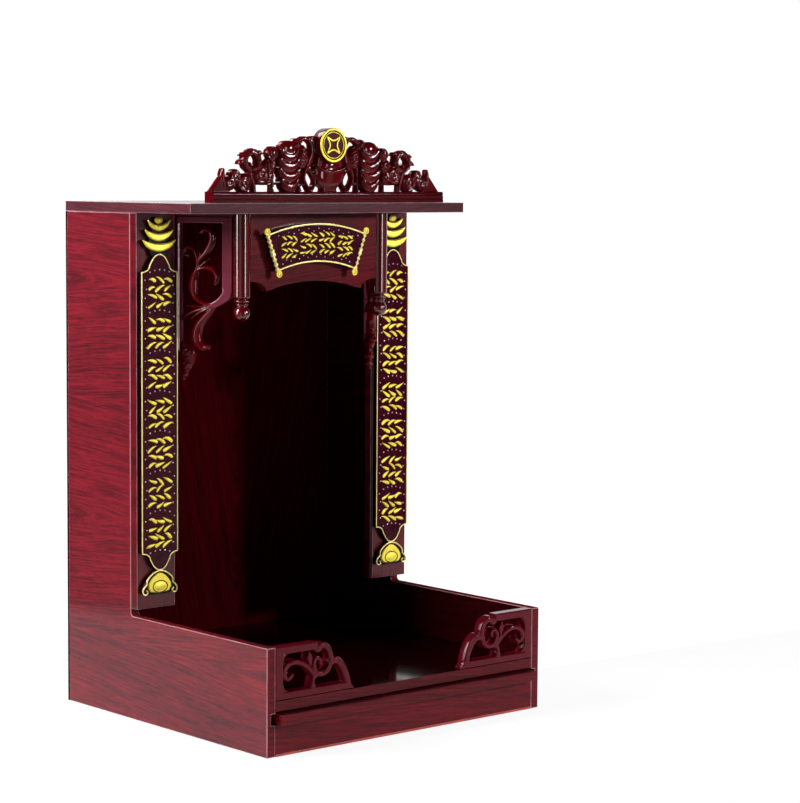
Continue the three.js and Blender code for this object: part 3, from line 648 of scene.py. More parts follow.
profile = [(0, ball - BALL_R),
           *((BALL_R * math.sin(a), ball - BALL_R * math.cos(a)) for a in np.radians(range(8, 141, 6))),
           (waist - 0.4, shaft - NECK_H), (waist, shaft - NECK_H * 0.9),
           *collar(shaft - NECK_H * 0.85, 2, 1.6, 30), (waist - 0.4, shaft - NECK_H * 0.6),
           *collar(shaft - NECK_H * 0.56, 3.6, 2.6, 20), (waist - 0.3, shaft - 1.2), (waist, shaft - 0.6),
           (POST_R - 1.4, shaft), (POST_R - 0.4, shaft + 0.6), (POST_R, shaft + 1.8), (POST_R, shaft + 2.6),
           (POST_R, -1.4), (POST_R, -0.6), (POST_R - 0.5, 0), (0, 0)]
post_at = np.array([*(post_low[:2] + post_high[:2]) / 2, post_high[2]])
both_sides("turned_post", turned(profile), lambda v: v + post_at, [bright_wine], "hanging_post", sharp=50)


# Couplet plaques.

plaque_low, plaque_high = box_mm("left_couplet_plaque")
plaque_x = (plaque_low[0] + plaque_high[0]) / 2
plaque_back = plaque_high[1]
PLAQUE_T, FACE = 5.0, 6.3
TOP, BOTTOM = 554.5, 178.0
SHOULDER, NECK, HALF = 22.0, 15.0, 26.5  # Height of an end's dome, and half widths of dome and panel.
FIELDS = 7


def panel_outline(inset, count=14):
    """A long panel with domed ends, each set off by a concave step."""
    half, neck, top, bottom = HALF - inset, NECK - inset, TOP - inset, BOTTOM + inset
    lobe = SHOULDER - inset
    rise = lobe * 0.62

    def concave(y, sign):
        return [(neck + (half - neck) * (1 - math.cos(a)), y + sign * (lobe - rise) * math.sin(a))
                for a in np.radians(np.linspace(0, 90, 6))]

    return reflected(arc((0, bottom + lobe), (neck, lobe), -90, 52, count) + concave(bottom + rise, 1)
                     + concave(top - rise, -1)[::-1] + arc((0, top - lobe), (neck, lobe), 38, 52, count))


def densified(points, step):
    """A closed outline with points at least every step."""
    p = np.array(points, float)
    out = []
    for a, b in zip(p, np.roll(p, -1, 0)):
        n = max(int(np.linalg.norm(b - a) / step), 1)
        out += [a + (b - a) * k / n for k in range(n)]
    return np.array(out)


def slab(points, low, high, ease):
    """A flat plate with the given outline and an eased front edge."""
    p = np.array(points, float)
    n = len(p)
    inward = normals(p)
    area = np.sum(p[:, 0] * np.roll(p[:, 1], -1) - np.roll(p[:, 0], -1) * p[:, 1])
    if area < 0:
        p, inward = p[::-1], -inward[::-1]
    rows = [(0, low), (0, high - ease), (ease * 0.3, high - ease * 0.3), (ease, high), (ease + 0.3, high)]
    verts = [(*(p[k] + inward[k] * inset), z) for inset, z in rows for k in range(n)]
    faces = strips(len(rows), n)
    kinds = [1] * len(faces)
    faces += [[(len(rows) - 1) * n + k for k in range(n)], list(range(n))[::-1]]
    return np.array(verts), faces, [*kinds, 0, 2]


def dabs(centre, size, z, height, seed, rows=4, per_row=3, count=11):
    """Rows of short curved brush dabs, thick at one end: a pattern, not letters."""
    rng = np.random.default_rng(seed)
    out = []
    steps = np.linspace(-1, 1, count)
    swell = np.sqrt(np.sin(np.linspace(0.3, 3.0, count)))
    for r in range(rows):
        hand = 1 if r % 2 else -1
        for c in range(per_row):
            x = centre[0] + size[0] * ((c + 0.5) / per_row - 0.5) + rng.uniform(-0.8, 0.8)
            y = centre[1] + size[1] * (0.5 - (r + 0.5) / rows) + rng.uniform(-0.7, 0.7)
            length = size[0] / per_row * rng.uniform(0.42, 0.62)
            lift = size[1] / rows * rng.uniform(0.12, 0.42)
            bulge = size[1] / rows * rng.uniform(-0.1, 0.26)
            line = np.stack([x + hand * steps * length, y + steps * lift + (1 - steps ** 2) * bulge], 1)
            w = size[1] / rows * rng.uniform(0.24, 0.33) * (1 - 0.35 * (steps + 1)) * swell
            out.append(tube(line, w.clip(0.3), height, z))
    return merged(*out)


def beads(spots, radius, z):
    """Small raised dots."""
    run = np.array([-1, -0.5, 0, 0.5, 1]) * radius
    section = np.array([0.15, 0.85, 1, 0.85, 0.15]) * radius
    return merged(*(tube([(x + dx, y) for dx in run], section, section, z) for x, y in spots))


first = TOP - SHOULDER
pitch = (first - BOTTOM - SHOULDER) / FIELDS
place = upright(plaque_x, plaque_back, 0)
STACK_H, STACK_TOP = 43, 597.2
ingots = Carving((-26, 26), (550, 599), CELL * 0.8)
for share, width, thick in ((0.19, 46, 4.6), (0.47, 39, 4.4), (0.73, 31, 3.6)):
    ingots.stroke(bow((0, TOP + STACK_H * share), width / 2, 0.62, (7, 1.4, -1.6)),
                  [0.7, thick * 0.78, thick, thick * 0.78, 0.7], 4.6, FACE + 0.7, flat=0.5)
ingots.boss((0, TOP + 39), (6, 4.2), 4.4, FACE + 1.0)
ingots.keep(lambda x, y: STACK_TOP - y)
# The ingots' walls are near black, painting their shade.
both_sides("ingot_stack", ingots.solid(), place, [gold, dark_and_shade], kinds=(0, 1, 1))
spine = [(11, TOP - 3), (15, TOP + 8), (11, TOP + 22), (7, TOP + 36)]
spine = [(-11, TOP - 3), *spine, *((-x, y) for x, y in spine[:0:-1])]
both_sides("ingot_backing", slab(densified(spine, 3), 0, PLAQUE_T - 0.4, 0.5), place, [dark_and_shade])
# The plaque body's sides are near black, painting their shade.
both_sides("plaque_body", slab(densified(panel_outline(0), 2), 0, FACE, 0.7), place, [dark_and_shade],
           "couplet_plaque")
both_sides("plaque_ground", slab(densified(panel_outline(1.9), 2), PLAQUE_T - 1, FACE + 0.12, 0.3), place,
           [ground])
# The pale gold outline paints the highlight along the panel's edge.
both_sides("plaque_outline", tube(densified(panel_outline(1.15), 1.5), 0.8, 0.55, FACE, closed=True), place,
           [pale_gold_and_highlight], sharp=SOFT)
for i in range(FIELDS):
    both_sides(f"plaque_dabs_{i}", dabs((0, first - pitch * (i + 0.5)), (33, 38), FACE + 0.2, 0.9, i),
               place, [gold], sharp=SOFT)
spots = [(side * (20.8 - 1.8 * (k % 2)), first - pitch * (i + 0.15 + 0.22 * k) + side * 2)
         for i in range(FIELDS) for k in range(4) for side in (-1, 1)]
spots += [(x, first - pitch * i + 3 * math.cos(x)) for i in range(FIELDS + 1) for x in (-14, -7, 0, 7, 14)]
# The beads are near white, painting their glints.
both_sides("plaque_beads", beads(spots, 1.0, FACE), place, [pearl_and_highlight], sharp=SOFT)

DROP_AT = (0, 159.3)


def drop_ornament():
    """Shouldered ingot with curled ends, hanging below the panel."""
    c = Carving((-27, 27), (147, 182), CELL * 0.8)
    c.shape(reflected([(0, 175.8), (4, 175), (9.4, 171.4), (13.2, 167.4), (15.8, 163), (16.8, 158), (13, 153),
                       (0, 151)]), 4.6, FACE + 0.3)
    c.boss(DROP_AT, (10, 6.6), 4.6, FACE + 1.1, power=0.4)
    return c.solid()


# The drop's walls are near black, painting their shade.
both_sides("drop_fill", drop_ornament(), place, [gold, dark_and_shade], kinds=(0, 1, 1))
rim = []
for side in (-1, 1):
    half = [(0, 178.4), (7.4, 176.6), (14, 172.4), (18.4, 167.6), (18.8, 163), (22.4, 159.6), (24.6, 155.4),
            (22.8, 151.4), (19.2, 151), (17.8, 153.8), (19.8, 156.2)]
    line = smooth_curve([(side * x, y) for x, y in half], 60)
    rim.append(tube(line, 1.0, 0.9, FACE - 0.3))
# The pale gold outline paints the highlight along the drop's edge.
both_sides("drop_outline", merged(*rim), place, [pale_gold_and_highlight], sharp=SOFT)
both_sides("drop_ring", tube(oval(DROP_AT, (10.4, 7), 39), 0.6, 0.4, FACE + 0.45, closed=True), place,
           [dark_and_shade], sharp=SOFT)
drop_half = [(4, 179), (19, 168), (25, 158), (23, 151.5), (12, 150)]
drop_back = [(-4, 179), *drop_half, *((-x, y) for x, y in drop_half[:0:-1])]
both_sides("drop_backing", slab(densified(drop_back, 2), 0, 4.9, 0.4), place, [dark_and_shade])


# Scroll plaque.

scroll_low, scroll_high = box_mm("scroll_plaque")
SPAN, HEIGHT, RISE, SCROLL_T = 150.0, 47.0, 13.0, 9.0
half = SPAN / 2
radius = (half * half + RISE * RISE) / (2 * RISE)
spread = math.degrees(math.asin(half / radius))
scroll_face = SCROLL_T + 1.3


def on_fan(angle, r):
    """The point at an angle in degrees and a distance from the fan's centre."""
    a = math.radians(angle)
    return math.cos(a) * r, -radius + math.sin(a) * r


def fan(inset, count=40):
    turn = spread - math.degrees(inset / radius)
    outer, inner = radius - inset, radius - HEIGHT + inset
    return (arc((0, -radius), (outer, outer), 90 + turn, -2 * turn, count)
            + arc((0, -radius), (inner, inner), 90 - turn, 2 * turn, count))


scroll_x = (scroll_low[0] + scroll_high[0]) / 2
SCROLL_TOP = 590.5
scroll_place = upright(scroll_x, scroll_high[1], SCROLL_TOP)
# The scroll body's sides are near black, painting their shade.
piece("scroll_body", slab(densified(fan(0), 2), 0, scroll_face, 0.7), scroll_place, [wine, dark_and_shade],
      "scroll_plaque", kinds=(0, 1, 1))
piece("scroll_ground", slab(densified(fan(2.2), 2), SCROLL_T - 1, scroll_face + 0.12, 0.3), scroll_place,
      [ground])
edges = [tube(arc((0, -radius), (r, r), 90 - spread * 0.97, 2 * spread * 0.97, 80), 1.1, 0.75, scroll_face)
         for r in (radius - 1.3, radius - HEIGHT + 1.3)]
# The pale gold edges paint the highlights along the scroll plaque's rims.
piece("scroll_edges", merged(*edges), scroll_place, [pale_gold_and_highlight], sharp=SOFT)
rolls, knots = [], []
TWISTS = 9
for side in (-1, 1):
    top, foot = (np.array(on_fan(90 - side * spread, r)) for r in (radius + 3, radius - HEIGHT - 3))
    run = np.linspace(0, 1, 61)
    w = 2.5 + 0.7 * np.cos(run * 2 * math.pi * TWISTS) + 1.1 * np.exp(-((run - 0.5) / 0.06) ** 2)
    rolls.append(tube([top + (foot - top) * s for s in run], w, w * 0.75, scroll_face - 1.4, sides=14))
    for end in (top, foot):
        knots += [tube(oval(end, (3.4, 3.4), 23), 1.1, 1.0, scroll_face - 0.2, closed=True),
                  tube([end + (-2.5, 0), end, end + (2.5, 0)], [1.2, 3.2, 1.2], [0.6, 1.3, 0.6],
                       scroll_face - 0.9, sides=12)]
piece("scroll_rolls", merged(*rolls), scroll_place, [pale_gold_and_highlight], sharp=SOFT)
piece("scroll_roll_ends", merged(*knots), scroll_place, [gold], sharp=SOFT)
for i in range(4):
    centre = on_fan(90 - spread * 0.84 * (2 * (i + 0.5) / 4 - 1), radius - HEIGHT / 2)
    piece(f"scroll_dabs_{i}", dabs(centre, (24, 28), scroll_face + 0.2, 0.8, 20 + i), scroll_place, [gold],
          sharp=SOFT)
spots = [on_fan(90 + spread * 0.86 * (2 * k / 33 - 1), radius - (6.5, 40.5, 9.5, 37.5)[k % 4])
         for k in range(34)]
# The beads are near white, painting their glints.
piece("scroll_beads", beads(spots, 0.8, scroll_face), scroll_place, [pearl_and_highlight], sharp=SOFT)


# Brackets, drawn from the jamb to the post with the roof at height 0.

jamb_low, jamb_high = box_mm("left_jamb")
ROOF = post_high[2] + GAP
BRACKET_T = 6  # From its middle plane to its face.
corner = np.array([jamb_high[0], jamb_low[1], ROOF])
post = np.array([post_at[0], post_at[1], ROOF])
up = np.array([0.0, 0, 1])
across = np.cross((post - corner) / np.linalg.norm(post - corner), up)
start = corner - across * BRACKET_T
run = post - start
length = np.linalg.norm(run)
run = run / length
out = np.cross(run, up)
bracket_span = length - POST_R - GAP


def bracket_place(v):
    return start + v[:, :1] * run + v[:, 1:2] * up + v[:, 2:3] * out


def clear_of_jamb(x, y):
    """Distance from the jamb's inner face, over the bracket's whole thickness."""
    return (start[0] + x * run[0] - BRACKET_T * abs(out[0]) - (corner[0] + GAP)) / run[0]


def bracket_carving(part):
    """The bracket's frame or its scrolls, carved on both sides."""
    c = Carving((-14, bracket_span + 1), (-200, 1))
    inner = bracket_span - 12.4
    left = 4.6
    u = (inner - left) / 54
    stile = inner + 6.2

    def at(points):
        """Drawn points, fitted between the frame's sides."""
        return [(left + (x - 5) * u, y) for x, y in points]

    def stroke(points, widths, **more):
        c.stroke(at(points), [w * max(u, 1) for w in widths], 2.2, 6, **{"steps": 90, "power": 0.75, **more})

    if part == "frame":
        for z, low_y, high_y in ((6, -11.6, -4.6), (3, -5.2, -0.3)):
            c.plate((-12, bracket_span), (low_y, high_y), z - 0.8, z, 0.8)
        c.plate((inner, bracket_span), (-88, -10), 5.2, 6, 0.8)
        c.plate((-12, left), (-165, -10), 5.2, 6, 0.8)
        c.stroke([(stile, -84), (stile, -90), (stile - 0.5, -95),
                  *at([(60, -100.5), (53.5, -105.5), (46, -109)])],
                 [6.2, 6.2, 5.9, 5, 3.9, 3.2], 5, 6, flat=0.7)
    else:
        stroke([(50, -106.5), (42, -108), (33, -106.5), (26, -101.5), (21.6, -93), (21, -85), (22.2, -77),
                (25, -69), (27.6, -62), (27, -54), (24, -46), (18, -41.2), (11.8, -42), (9.6, -47.5),
                (13.6, -50)],
               [2.4, 2.2, 2.4, 3.4, 4.8, 5.4, 4.6, 3, 2.4, 2.3, 2.2, 2.1, 2, 1.9, 1.9], steps=160)
        stroke([(24, -70), (30, -66), (38.5, -64.6), (46, -67), (50.5, -72), (51, -78), (49, -84)],
               [1.6, 2.3, 2.6, 2.9, 2.8, 2.4, 1.2])
        stroke([(27, -62), (31, -54), (37, -47), (42, -40), (45, -32), (44.6, -25), (40.5, -20.6), (35, -20),
                (31, -23.5)], [1.6, 2.5, 3.2, 3.9, 4.2, 3.8, 3, 2.2, 1.6])
        stroke([(24.5, -67.5), (34, -60.5), (42.7, -53.8)], [1, 2, 0.6])
        stroke([(28, -58), (30.5, -51), (31, -44.5)], [1.2, 2, 0.6])
        stroke([(46, -109), (30, -110.6), (14, -110)], [1.6, 1.3, 1.6])
        stroke([(46, -110), (30, -114), (17, -119), (7, -126.3)], [2, 2.2, 2, 0.7])
        stroke([(46, -111), (34, -115.5), (26, -120), (19.2, -126)], [2, 2.1, 1.8, 0.6])
        stroke([(50, -107), (41, -118), (33.4, -126.5), (27.8, -134), (25.2, -142), (25.4, -149.5),
                (28, -155.6), (33.5, -159.4), (39, -159)], [2.4, 3.6, 4.6, 5.4, 5.8, 5.7, 4.9, 4.2, 3.3])
        c.stroke(at([(9.5, -158), (13.6, -168), (12.5, -178), (10.5, -187), (8.6, -198)]),
                 [6, 10.8, 7.6, 4.6, 1.2], 1.6, 3.6)
        c.boss((13 * u, -166), (10, 8.4), 1.6, 7, swirl=1.6, turns=1.6)
        c.boss((11.5, -181), (7, 6.4), 1.6, 6.6, swirl=1.4, turns=1.4, hand=-1)
        c.boss((9.6, -192), (4, 4), 1.6, 5.6)
    c.keep(clear_of_jamb)
    return c.solid(both=True)


both_sides("carved_bracket", bracket_carving("scrolls"), bracket_place, [wine], "bracket")
# The frame's pink-purple paints the pale reflection on its flats.
both_sides("bracket_frame", bracket_carving("frame"), bracket_place, [rosy_reflection])
# A near-white bead along the frame's bar paints the highlight line on its edge.
both_sides("bracket_bead", tube([(3.6, y) for y in range(-163, -11, 10)], 0.9, 0.6, 5.8), bracket_place,
           [pearl_and_highlight], sharp=SOFT)


# Fences.

fence_low, fence_high = box_mm("left_fence")
FENCE_W, FENCE_H, FENCE_T = 115, 60.5, 12


def fence_carving():
    """The corner's two sides and the window's cusps, filled with scrolls."""
    c = Carving((0, FENCE_W), (0, FENCE_H))
    edge = FENCE_T - 1.4
    for x, y in (((0, 11), (0, FENCE_H)), ((0, 60), (51.5, FENCE_H)), ((0, 106), (0, 8.5))):
        c.plate(x, y, edge, FENCE_T)
    c.shape([(103, 0), (115, 0), (109, 8), (103, 8)], edge, FENCE_T)
    for y, rise in ((51.5, -6), (8.5, 6)):
        c.shape([(9, y), (18, y), (15, y + rise * 0.35), (12.6, y + rise * 0.8), (11, y + rise * 1.6),
                 (9, y + rise * 1.6)], edge, FENCE_T)

    def stroke(points, widths):
        c.stroke(points, [w * 1.22 for w in widths], 9.6, FENCE_T, steps=110, power=0.5, flat=0.3)

    stroke([*arc((68.5, 38.8), (12.2, 16.2), 122, -212, 9), (60.6, 23.6), (56.8, 30), (56.4, 37.5),
            (60.2, 41.6), (64.8, 39), (64.6, 34)], [4.4, 3, *[2.8] * 7, 2.6, 2.4, 2.2, 2, 1.9, 1.5])
    stroke([(80, 34.5), (89, 35.4), (96.2, 30), (101.4, 21.2), (104.8, 12), (106.6, 3)],
           [3.4, 3.4, 3.5, 3.5, 3.4, 3.6])
    stroke([(24.6, 26.4), (20.2, 22.6), (14.6, 25), (13.8, 32), (19, 38.4), (29.4, 40.4), (41.6, 36.4),
            (50.4, 29.8), (58, 21.6)], [1.7, 2, 2.5, 2.8, 2.6, 2.5, 2.5, 2.5, 2.8])
    c.shape([(48.8, 52), (53.6, 43.4), (51, 30), (45.2, 43.8)], 10, FENCE_T)
    stroke([(57.4, 23), (54, 15.5), (54.6, 6)], [2.4, 2.1, 4.2])
    c.keep(lambda x, y: np.minimum(np.minimum(y, FENCE_H - y), np.minimum(x, FENCE_W - x)))
    return c.solid()


both_sides("carved_fence", fence_carving(), upright(fence_low[0], fence_high[1], fence_low[2]),
           [fence_wine], "fence")


# Crest.

crest_low, crest_high = box_mm("crest")
BASE_T, BASE_H, CREST_W, CREST_T, CREST_H = 16.5, 13.2, 354.0, 10.0, 66.0
crest_place = upright(0, crest_high[1] - 1.5, crest_low[2] + BASE_H)


def crest_base():
    """The moulded base, extruded from its section."""

    def cove(y0, y1, depth):
        return [(depth * math.sin(math.pi * k / 6), y0 + (y1 - y0) * k / 6) for k in range(7)]

    section = [(BASE_T, 0), (0, 0), (0, BASE_H * 0.22), *cove(BASE_H * 0.24, BASE_H * 0.34, 1.1),
               (0.4, BASE_H * 0.36), (0.4, BASE_H * 0.62), *cove(BASE_H * 0.64, BASE_H * 0.74, 1.8),
               *((3.4 - 3 * math.cos(a), BASE_H * 0.76 + BASE_H * 0.24 * math.sin(a))
                 for a in np.radians(range(0, 91, 15))), (BASE_T, BASE_H)]
    n = len(section)
    half = CREST_W / 2
    verts = [(x, -d, y) for x in (-half, half) for d, y in section]
    faces = strips(2, n) + [list(range(n))[::-1], list(range(n, 2 * n))]
    return np.array(verts), faces, [0] * len(faces)


front_y = crest_low[1]
piece("crest_base", crest_base(),
      lambda v: np.stack([v[:, 0], front_y - v[:, 1], v[:, 2] + crest_low[2]], 1), [flat_wine], sharp=35)


def crest_carving():
    """Flowers, clouds, stems and a stacked body on one side, reflected, and the pot in the middle."""
    c = Carving((-178, 178), (-1, CREST_H))
    c.xs = c.xs - (c.xs[0] + c.xs[-1]) / 2
    t = CREST_T

    def stroke(points, widths, front=t, edge=None, **more):
        c.stroke(points, widths, front * 0.62 if edge is None else edge, front, **{"steps": 60, **more})

    def curl(centre, r, start, sweep, w, front=t):
        c.boss(centre, (r + w * 0.9, r + w * 0.9), front * 0.55, front, swirl=1.5, turns=2.4,
               hand=1 if sweep > 0 else -1)
        stroke(spiral(centre, (r, r * 0.35), start, sweep), [w, w, w * 0.7], front)

    c.shape([(176.5, -1), (161, 17.5), (151, 13), (149, -1)], 6.4, 8, 1.4)
    stroke([(156, 8), (157, 19), (156.4, 25.6)], [3.4, 3.2, 1.6], t * 0.9)
    curl((148, 9), 6.2, 200, -330, 3.1, t * 0.95)
    curl((139.5, 17), 6.2, 60, 330, 3.4)
    curl((127, 9.8), 8.6, -100, 400, 3.3, t * 0.97)
    stroke(spiral((115, 35.5), (10.8, 9.4), -70, 330), [3.6, 4, 3.8, 4, 3], t * 1.1, groove=0.8)
    for angle in range(-40, 250, 36):
        a = math.radians(angle)
        stroke([(115 + 9 * math.cos(a), 35.5 + 9 * math.sin(a)),
                (115 + 13.4 * math.cos(a + 0.1), 35.5 + 13 * math.sin(a + 0.1))], [2.6, 1.6], t * 1.05,
               steps=12)
    stroke([(112, 44), (114, 47.5), (119, 49)], [3.2, 2.6, 0.8], t * 0.9)
    stroke([(107, 42), (104, 45.5), (98.6, 43.6)], [3.2, 2.6, 0.6], t * 0.9)
    stroke([(122, 41), (127, 43), (131, 42)], [3.2, 2.6, 0.8], t * 0.9)
    stroke([(125, 33), (131, 34.5), (134.4, 32)], [3.2, 2.8, 0.8], t * 0.9)
    stroke([(119, 30), (116, 18), (112, 8), (111, -2)], [4.4, 3.4, 2.8, 2.8], t * 0.85)
    curl((102, 19.4), 8.8, -60, -380, 3.5, t * 1.03)
    c.boss((90.5, 18), (8, 8.4), 6, t * 1.1, swirl=1.3, turns=2.6)
    c.boss((88, 31), (9, 8.6), 6, t * 1.15, swirl=1.3, turns=2.6, hand=-1)
    c.boss((85, 44.5), (8.6, 8.4), 6, t * 1.2, swirl=1.3, turns=2.6)
    stroke([(85, 24), (85.6, 10), (85.4, -2)], [2.2, 1.8, 2.6], t * 0.8)
    stroke([(98, 8.8), (74, 9.4)], [1.5, 1.5], t * 0.7)
    for y, half_w in ((44, 12.5), (33, 14.5), (21, 15), (9, 12)):
        scale = bow((62, y), half_w, 0.5, (5, -2, -4))
        stroke(scale, [1.8, 6, 7.6, 6, 1.8], t * 1.3, edge=8.2, power=0.45)
        ridge = [(x, up_y + 2.2) for x, up_y in scale]
        stroke(ridge, [0.5, 1.1, 1.3, 1.1, 0.5], t * 1.3, edge=t * 1.05)
    c.boss((62, 50), (13.6, 9.8), 7, t * 1.3, power=0.5)
    c.boss((49.6, 55.6), (7.4, 7), 6, t * 1.15, swirl=1.3, turns=2.2, hand=-1)
    c.boss((40, 41), (8.2, 14), 6, t * 1.15)
    for k in range(5):
        y = 31 + 5 * k
        c.lines([(33.5, y - 2), (40, y + 1.5), (46.5, y + 5)], 1.0)
    stroke([(46, 58), (37, 62.4), (27.6, 58), (25.6, 47), (28.4, 36), (34, 27), (37.4, 16), (32.6, 6),
            (27, -2)], [3.4, 2.8, 2.6, 3.6, 5, 2.8, 2.2, 2.2, 2.6], t * 0.9)
    stroke([(34, 30), (25, 21), (20.6, 11.6), (28, -2)], [2.6, 2.3, 2.2, 2.6], t * 0.8)
    stroke([(32, 61.4), (22, 64), (14, 60)], [2.8, 1.9, 3.0])
    stroke([(54, 8.4), (36, 8.4)], [1.5, 1.5], t * 0.7)
    stroke([(44, 32), (44.6, 12), (44, -2)], [3, 1.6, 2.4], t * 0.8)
    c.mirror()
    h = CREST_H
    c.shape(reflected([(0, -1), (12, -1), (11, h * 0.05), (17, h * 0.14), (22.4, h * 0.28), (23.6, h * 0.4),
                       (21, h * 0.47), (19, h * 0.6), (17, h * 0.75), (0, h * 0.8)]), 7, t, 3)
    c.boss((0, h * 0.3), (21, h * 0.24), 8, t * 1.4, power=0.5)
    lip = [(-23, h * 0.46), (-12, h * 0.385), (0, h * 0.36), (12, h * 0.385), (23, h * 0.46)]
    c.stroke(lip, [1.2, 1.7, 1.9, 1.7, 1.2], t * 1.1, t * 1.45)
    c.boss((0, h * 0.47), (13, 7), 9, t * 1.4, power=0.5)
    c.keep(lambda x, y: np.minimum(y + 0.6, CREST_H - y))
    return c.solid()


piece("crest_carving", crest_carving(), crest_place, [wine], "crest")
COIN_R, COIN_Y, COIN_T = 20.5, 55.0, 17.0
WELL = COIN_T - 1.6


def coin_place(v):
    """Drawn about the coin's middle, with z towards the viewer."""
    return crest_place(v + np.array([0, COIN_Y, 0]))


disc = turned([(0, -0.4), (COIN_R - 0.4, -0.4), (COIN_R, 0.1), (COIN_R, COIN_T - 1.4),
               (COIN_R - 0.8, COIN_T - 0.6), (COIN_R - 3.4, COIN_T - 0.6), (COIN_R - 3.8, WELL),
               (COIN_R - 4.2, WELL), (0, WELL)], 96)
piece("coin_disc", disc, coin_place, [flat_wine], sharp=40)
coin_gold = [tube(oval((0, 0), (r, r), 96), w, h, COIN_T - sunk, closed=True, sides=n)
             for r, w, h, sunk, n in ((COIN_R - 1.7, 1.6, 0.8, 0.8, 10), (COIN_R - 5, 0.6, 0.5, 0.9, 8))]
HOLE = 9.4  # Half the side of the square window.
for angle in (45, 135, 225, 315):
    p0, p1 = (np.array([math.cos(v), math.sin(v)]) * HOLE * 1.42 for v in np.radians((angle, angle + 90)))
    middle = (p0 + p1) / 2 * 0.58
    coin_gold.append(tube(smooth_curve([p0, middle, p1], 30), 1.15, 0.6, COIN_T - 0.8))
piece("coin_gold", merged(*coin_gold), coin_place, [gold], sharp=SOFT)


# Floor, backdrop and lights.

AIM = Vector((0, 0, 0.35))


def area_light(name, azimuth, elevation, distance, size, power, highlights_only=False):
    """A soft box seen from the object at an azimuth (0 in front, 90 on the right) and an elevation."""
    a, e = math.radians(azimuth), math.radians(elevation)
    towards = Vector((math.sin(a) * math.cos(e), -math.cos(a) * math.cos(e), math.sin(e)))
    data = bpy.data.lights.new(name, "AREA")
    data.shape = "RECTANGLE"
    data.size, data.size_y = size
    data.energy = power
    lamp = bpy.data.objects.new(name, data)
    lamp.visible_diffuse = not highlights_only
    lamp.location = AIM + towards * distance
    lamp.rotation_mode = "QUATERNION"
    lamp.rotation_quaternion = (-towards).to_track_quat("-Z", "Y")
    bpy.context.scene.collection.objects.link(lamp)


area_light("left_box", -103, 32, 1.7, (0.5, 0.8), 34)
area_light("left_strip", -103, 4, 2.6, (0.5, 2.2), 45, highlights_only=True)
area_light("right_box", 37.5, 15, 2.7, (0.3, 0.3), 38)
area_light("front_strip", 8, 2, 2.7, (0.35, 2.0), 30, highlights_only=True)
area_light("back_box", 182, 40, 3.0, (1.2, 0.8), 30)

# WALLS and the bright sectors are glowing bands painted into the world and, below the horizon, into the
# floor.
DIM = 0.03
WALLS = ((-180, DIM), (-168, DIM), (-160, 0.5), (-140, 0.5), (-132, DIM), (-66, DIM), (-61, 0.5), (-52, 0.5),
         (-47, DIM))  # Two grey walls with dark between them; angle from +X, brightness.
REACH = 30
BELOW = 0.0004  # Keeps the floor from touching the underside.
DISC_AT = (0.55, 0.25, 0)
DISC_FADE = (1.19, 0.92), (1.26, DIM)  # Distance from the disc's middle, brightness.


def around(net, direction, *stops):
    """Brightness by the angle round the object."""
    turn = net.node("ShaderNodeTexGradient", {0: direction}, gradient_type="RADIAL")
    return net.greys(turn.outputs[1], *((0.5 + angle / 360, v) for angle, v in stops))


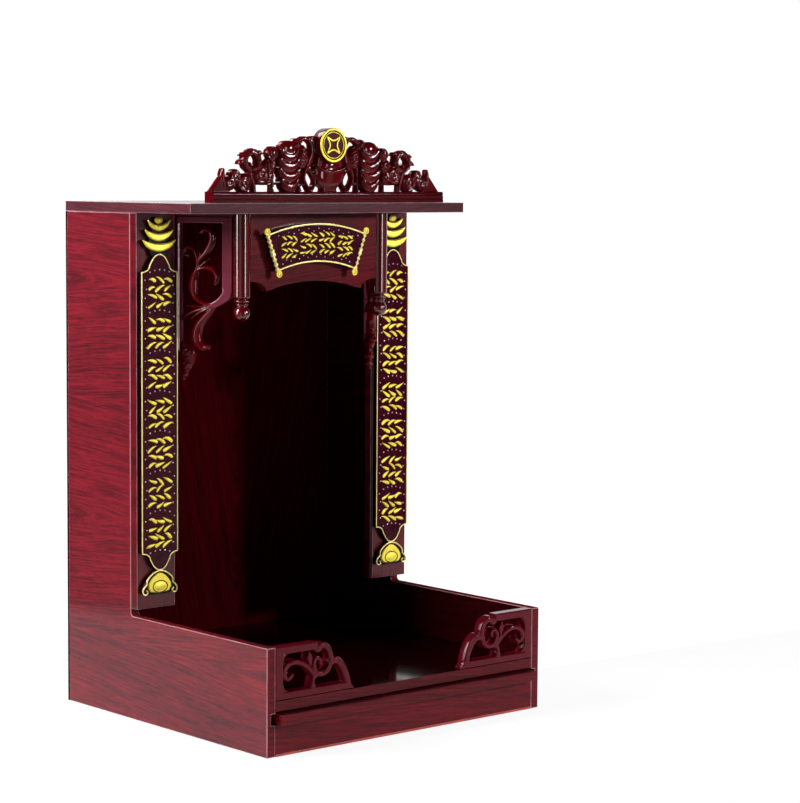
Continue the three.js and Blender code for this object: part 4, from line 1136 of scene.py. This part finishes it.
# The floor glows: bright in a disc round the object, along the two walls and behind the object, dim
# elsewhere, so it lights the object and paints the pale reflections in it.
floor_mesh = bpy.data.meshes.new("floor")
floor_mesh.from_pydata([(-REACH, -REACH, 0), (REACH, -REACH, 0), (REACH, REACH, 0), (-REACH, REACH, 0)], [],
                       [[0, 1, 2, 3]])
floor = bpy.data.objects.new("floor", floor_mesh)
floor.location = (0, 0, -BELOW)
bpy.context.scene.collection.objects.link(floor)
floor_glow, net, shader, coords = material("glowing_floor")
sheet = net.node("ShaderNodeVectorMath", {0: coords, 1: DISC_AT}, operation="DISTANCE").outputs["Value"]
near = net.greys(net.times(sheet, 0.5), *((d / 2, v) for d, v in DISC_FADE))
far = around(net, coords, *WALLS, (-15, DIM), (-3, 1.0), (88, 1.0), (100, DIM), (180, DIM))
net.fill(shader, {"Base Color": net.greys(net.noise(coords, 30.0), (0.3, 0.1), (0.7, 0.12)),
                  "Emission Color": net.mix("LIGHTEN", near, far), "Emission Strength": 1.0,
                  "Roughness": 0.8, "Specular IOR Level": 0.0})
floor_mesh.materials.append(floor_glow)
floor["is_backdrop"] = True

world = bpy.data.worlds.new("studio")
bpy.context.scene.world = world
world.use_nodes = True
net = Net(world.node_tree)
sky = world.node_tree.nodes["Background"]
direction = net.node("ShaderNodeTexCoord", {}).outputs["Generated"]
height = net.node("ShaderNodeSeparateXYZ", {0: direction}).outputs[2]
walls = around(net, direction, *WALLS, (180, DIM))
low = net.greys(height, (0.05, 1), (0.12, DIM))
behind = around(net, direction, (-10, DIM), (20, 1.0), (75, 1.0), (102, DIM))
high = net.greys(height, (0.3, 1), (0.5, DIM))
net.fill(sky, {0: net.mix("LIGHTEN", net.mix("MULTIPLY", walls, low), net.mix("MULTIPLY", behind, high)),
               1: 1.1})
bpy.context.scene.view_settings.view_transform = "Standard"


# Camera, fitted to the photograph's vanishing lines.

FOCAL, FRAME = 2457.966, 803  # Pixels.
SENSOR = 36
YAW, PITCH, ROLL = 41.07087, 5.31021, 0.40420
STANDS_AT = (-1.86604, -2.31547, 0.65046)
camera_data = bpy.data.cameras.new("camera")
camera = bpy.data.objects.new("camera", camera_data)
bpy.context.scene.collection.objects.link(camera)
bpy.context.scene.camera = camera
camera_data.sensor_width = SENSOR
camera_data.lens = FOCAL * SENSOR / FRAME
camera_data.clip_start, camera_data.clip_end = 0.1, 100
yaw, tilt, roll = (math.radians(v) for v in (YAW, PITCH, ROLL))
forward = Vector((math.sin(yaw) * math.cos(tilt), math.cos(yaw) * math.cos(tilt), -math.sin(tilt)))
right = Vector((math.cos(yaw), -math.sin(yaw), 0))
above = right.cross(forward)
turned_right = right * math.cos(roll) + above * math.sin(roll)
turned_up = above * math.cos(roll) - right * math.sin(roll)
basis = Matrix((turned_right, turned_up, -forward)).transposed().to_4x4()
basis.translation = Vector(STANDS_AT)
camera.matrix_world = basis

low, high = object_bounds()
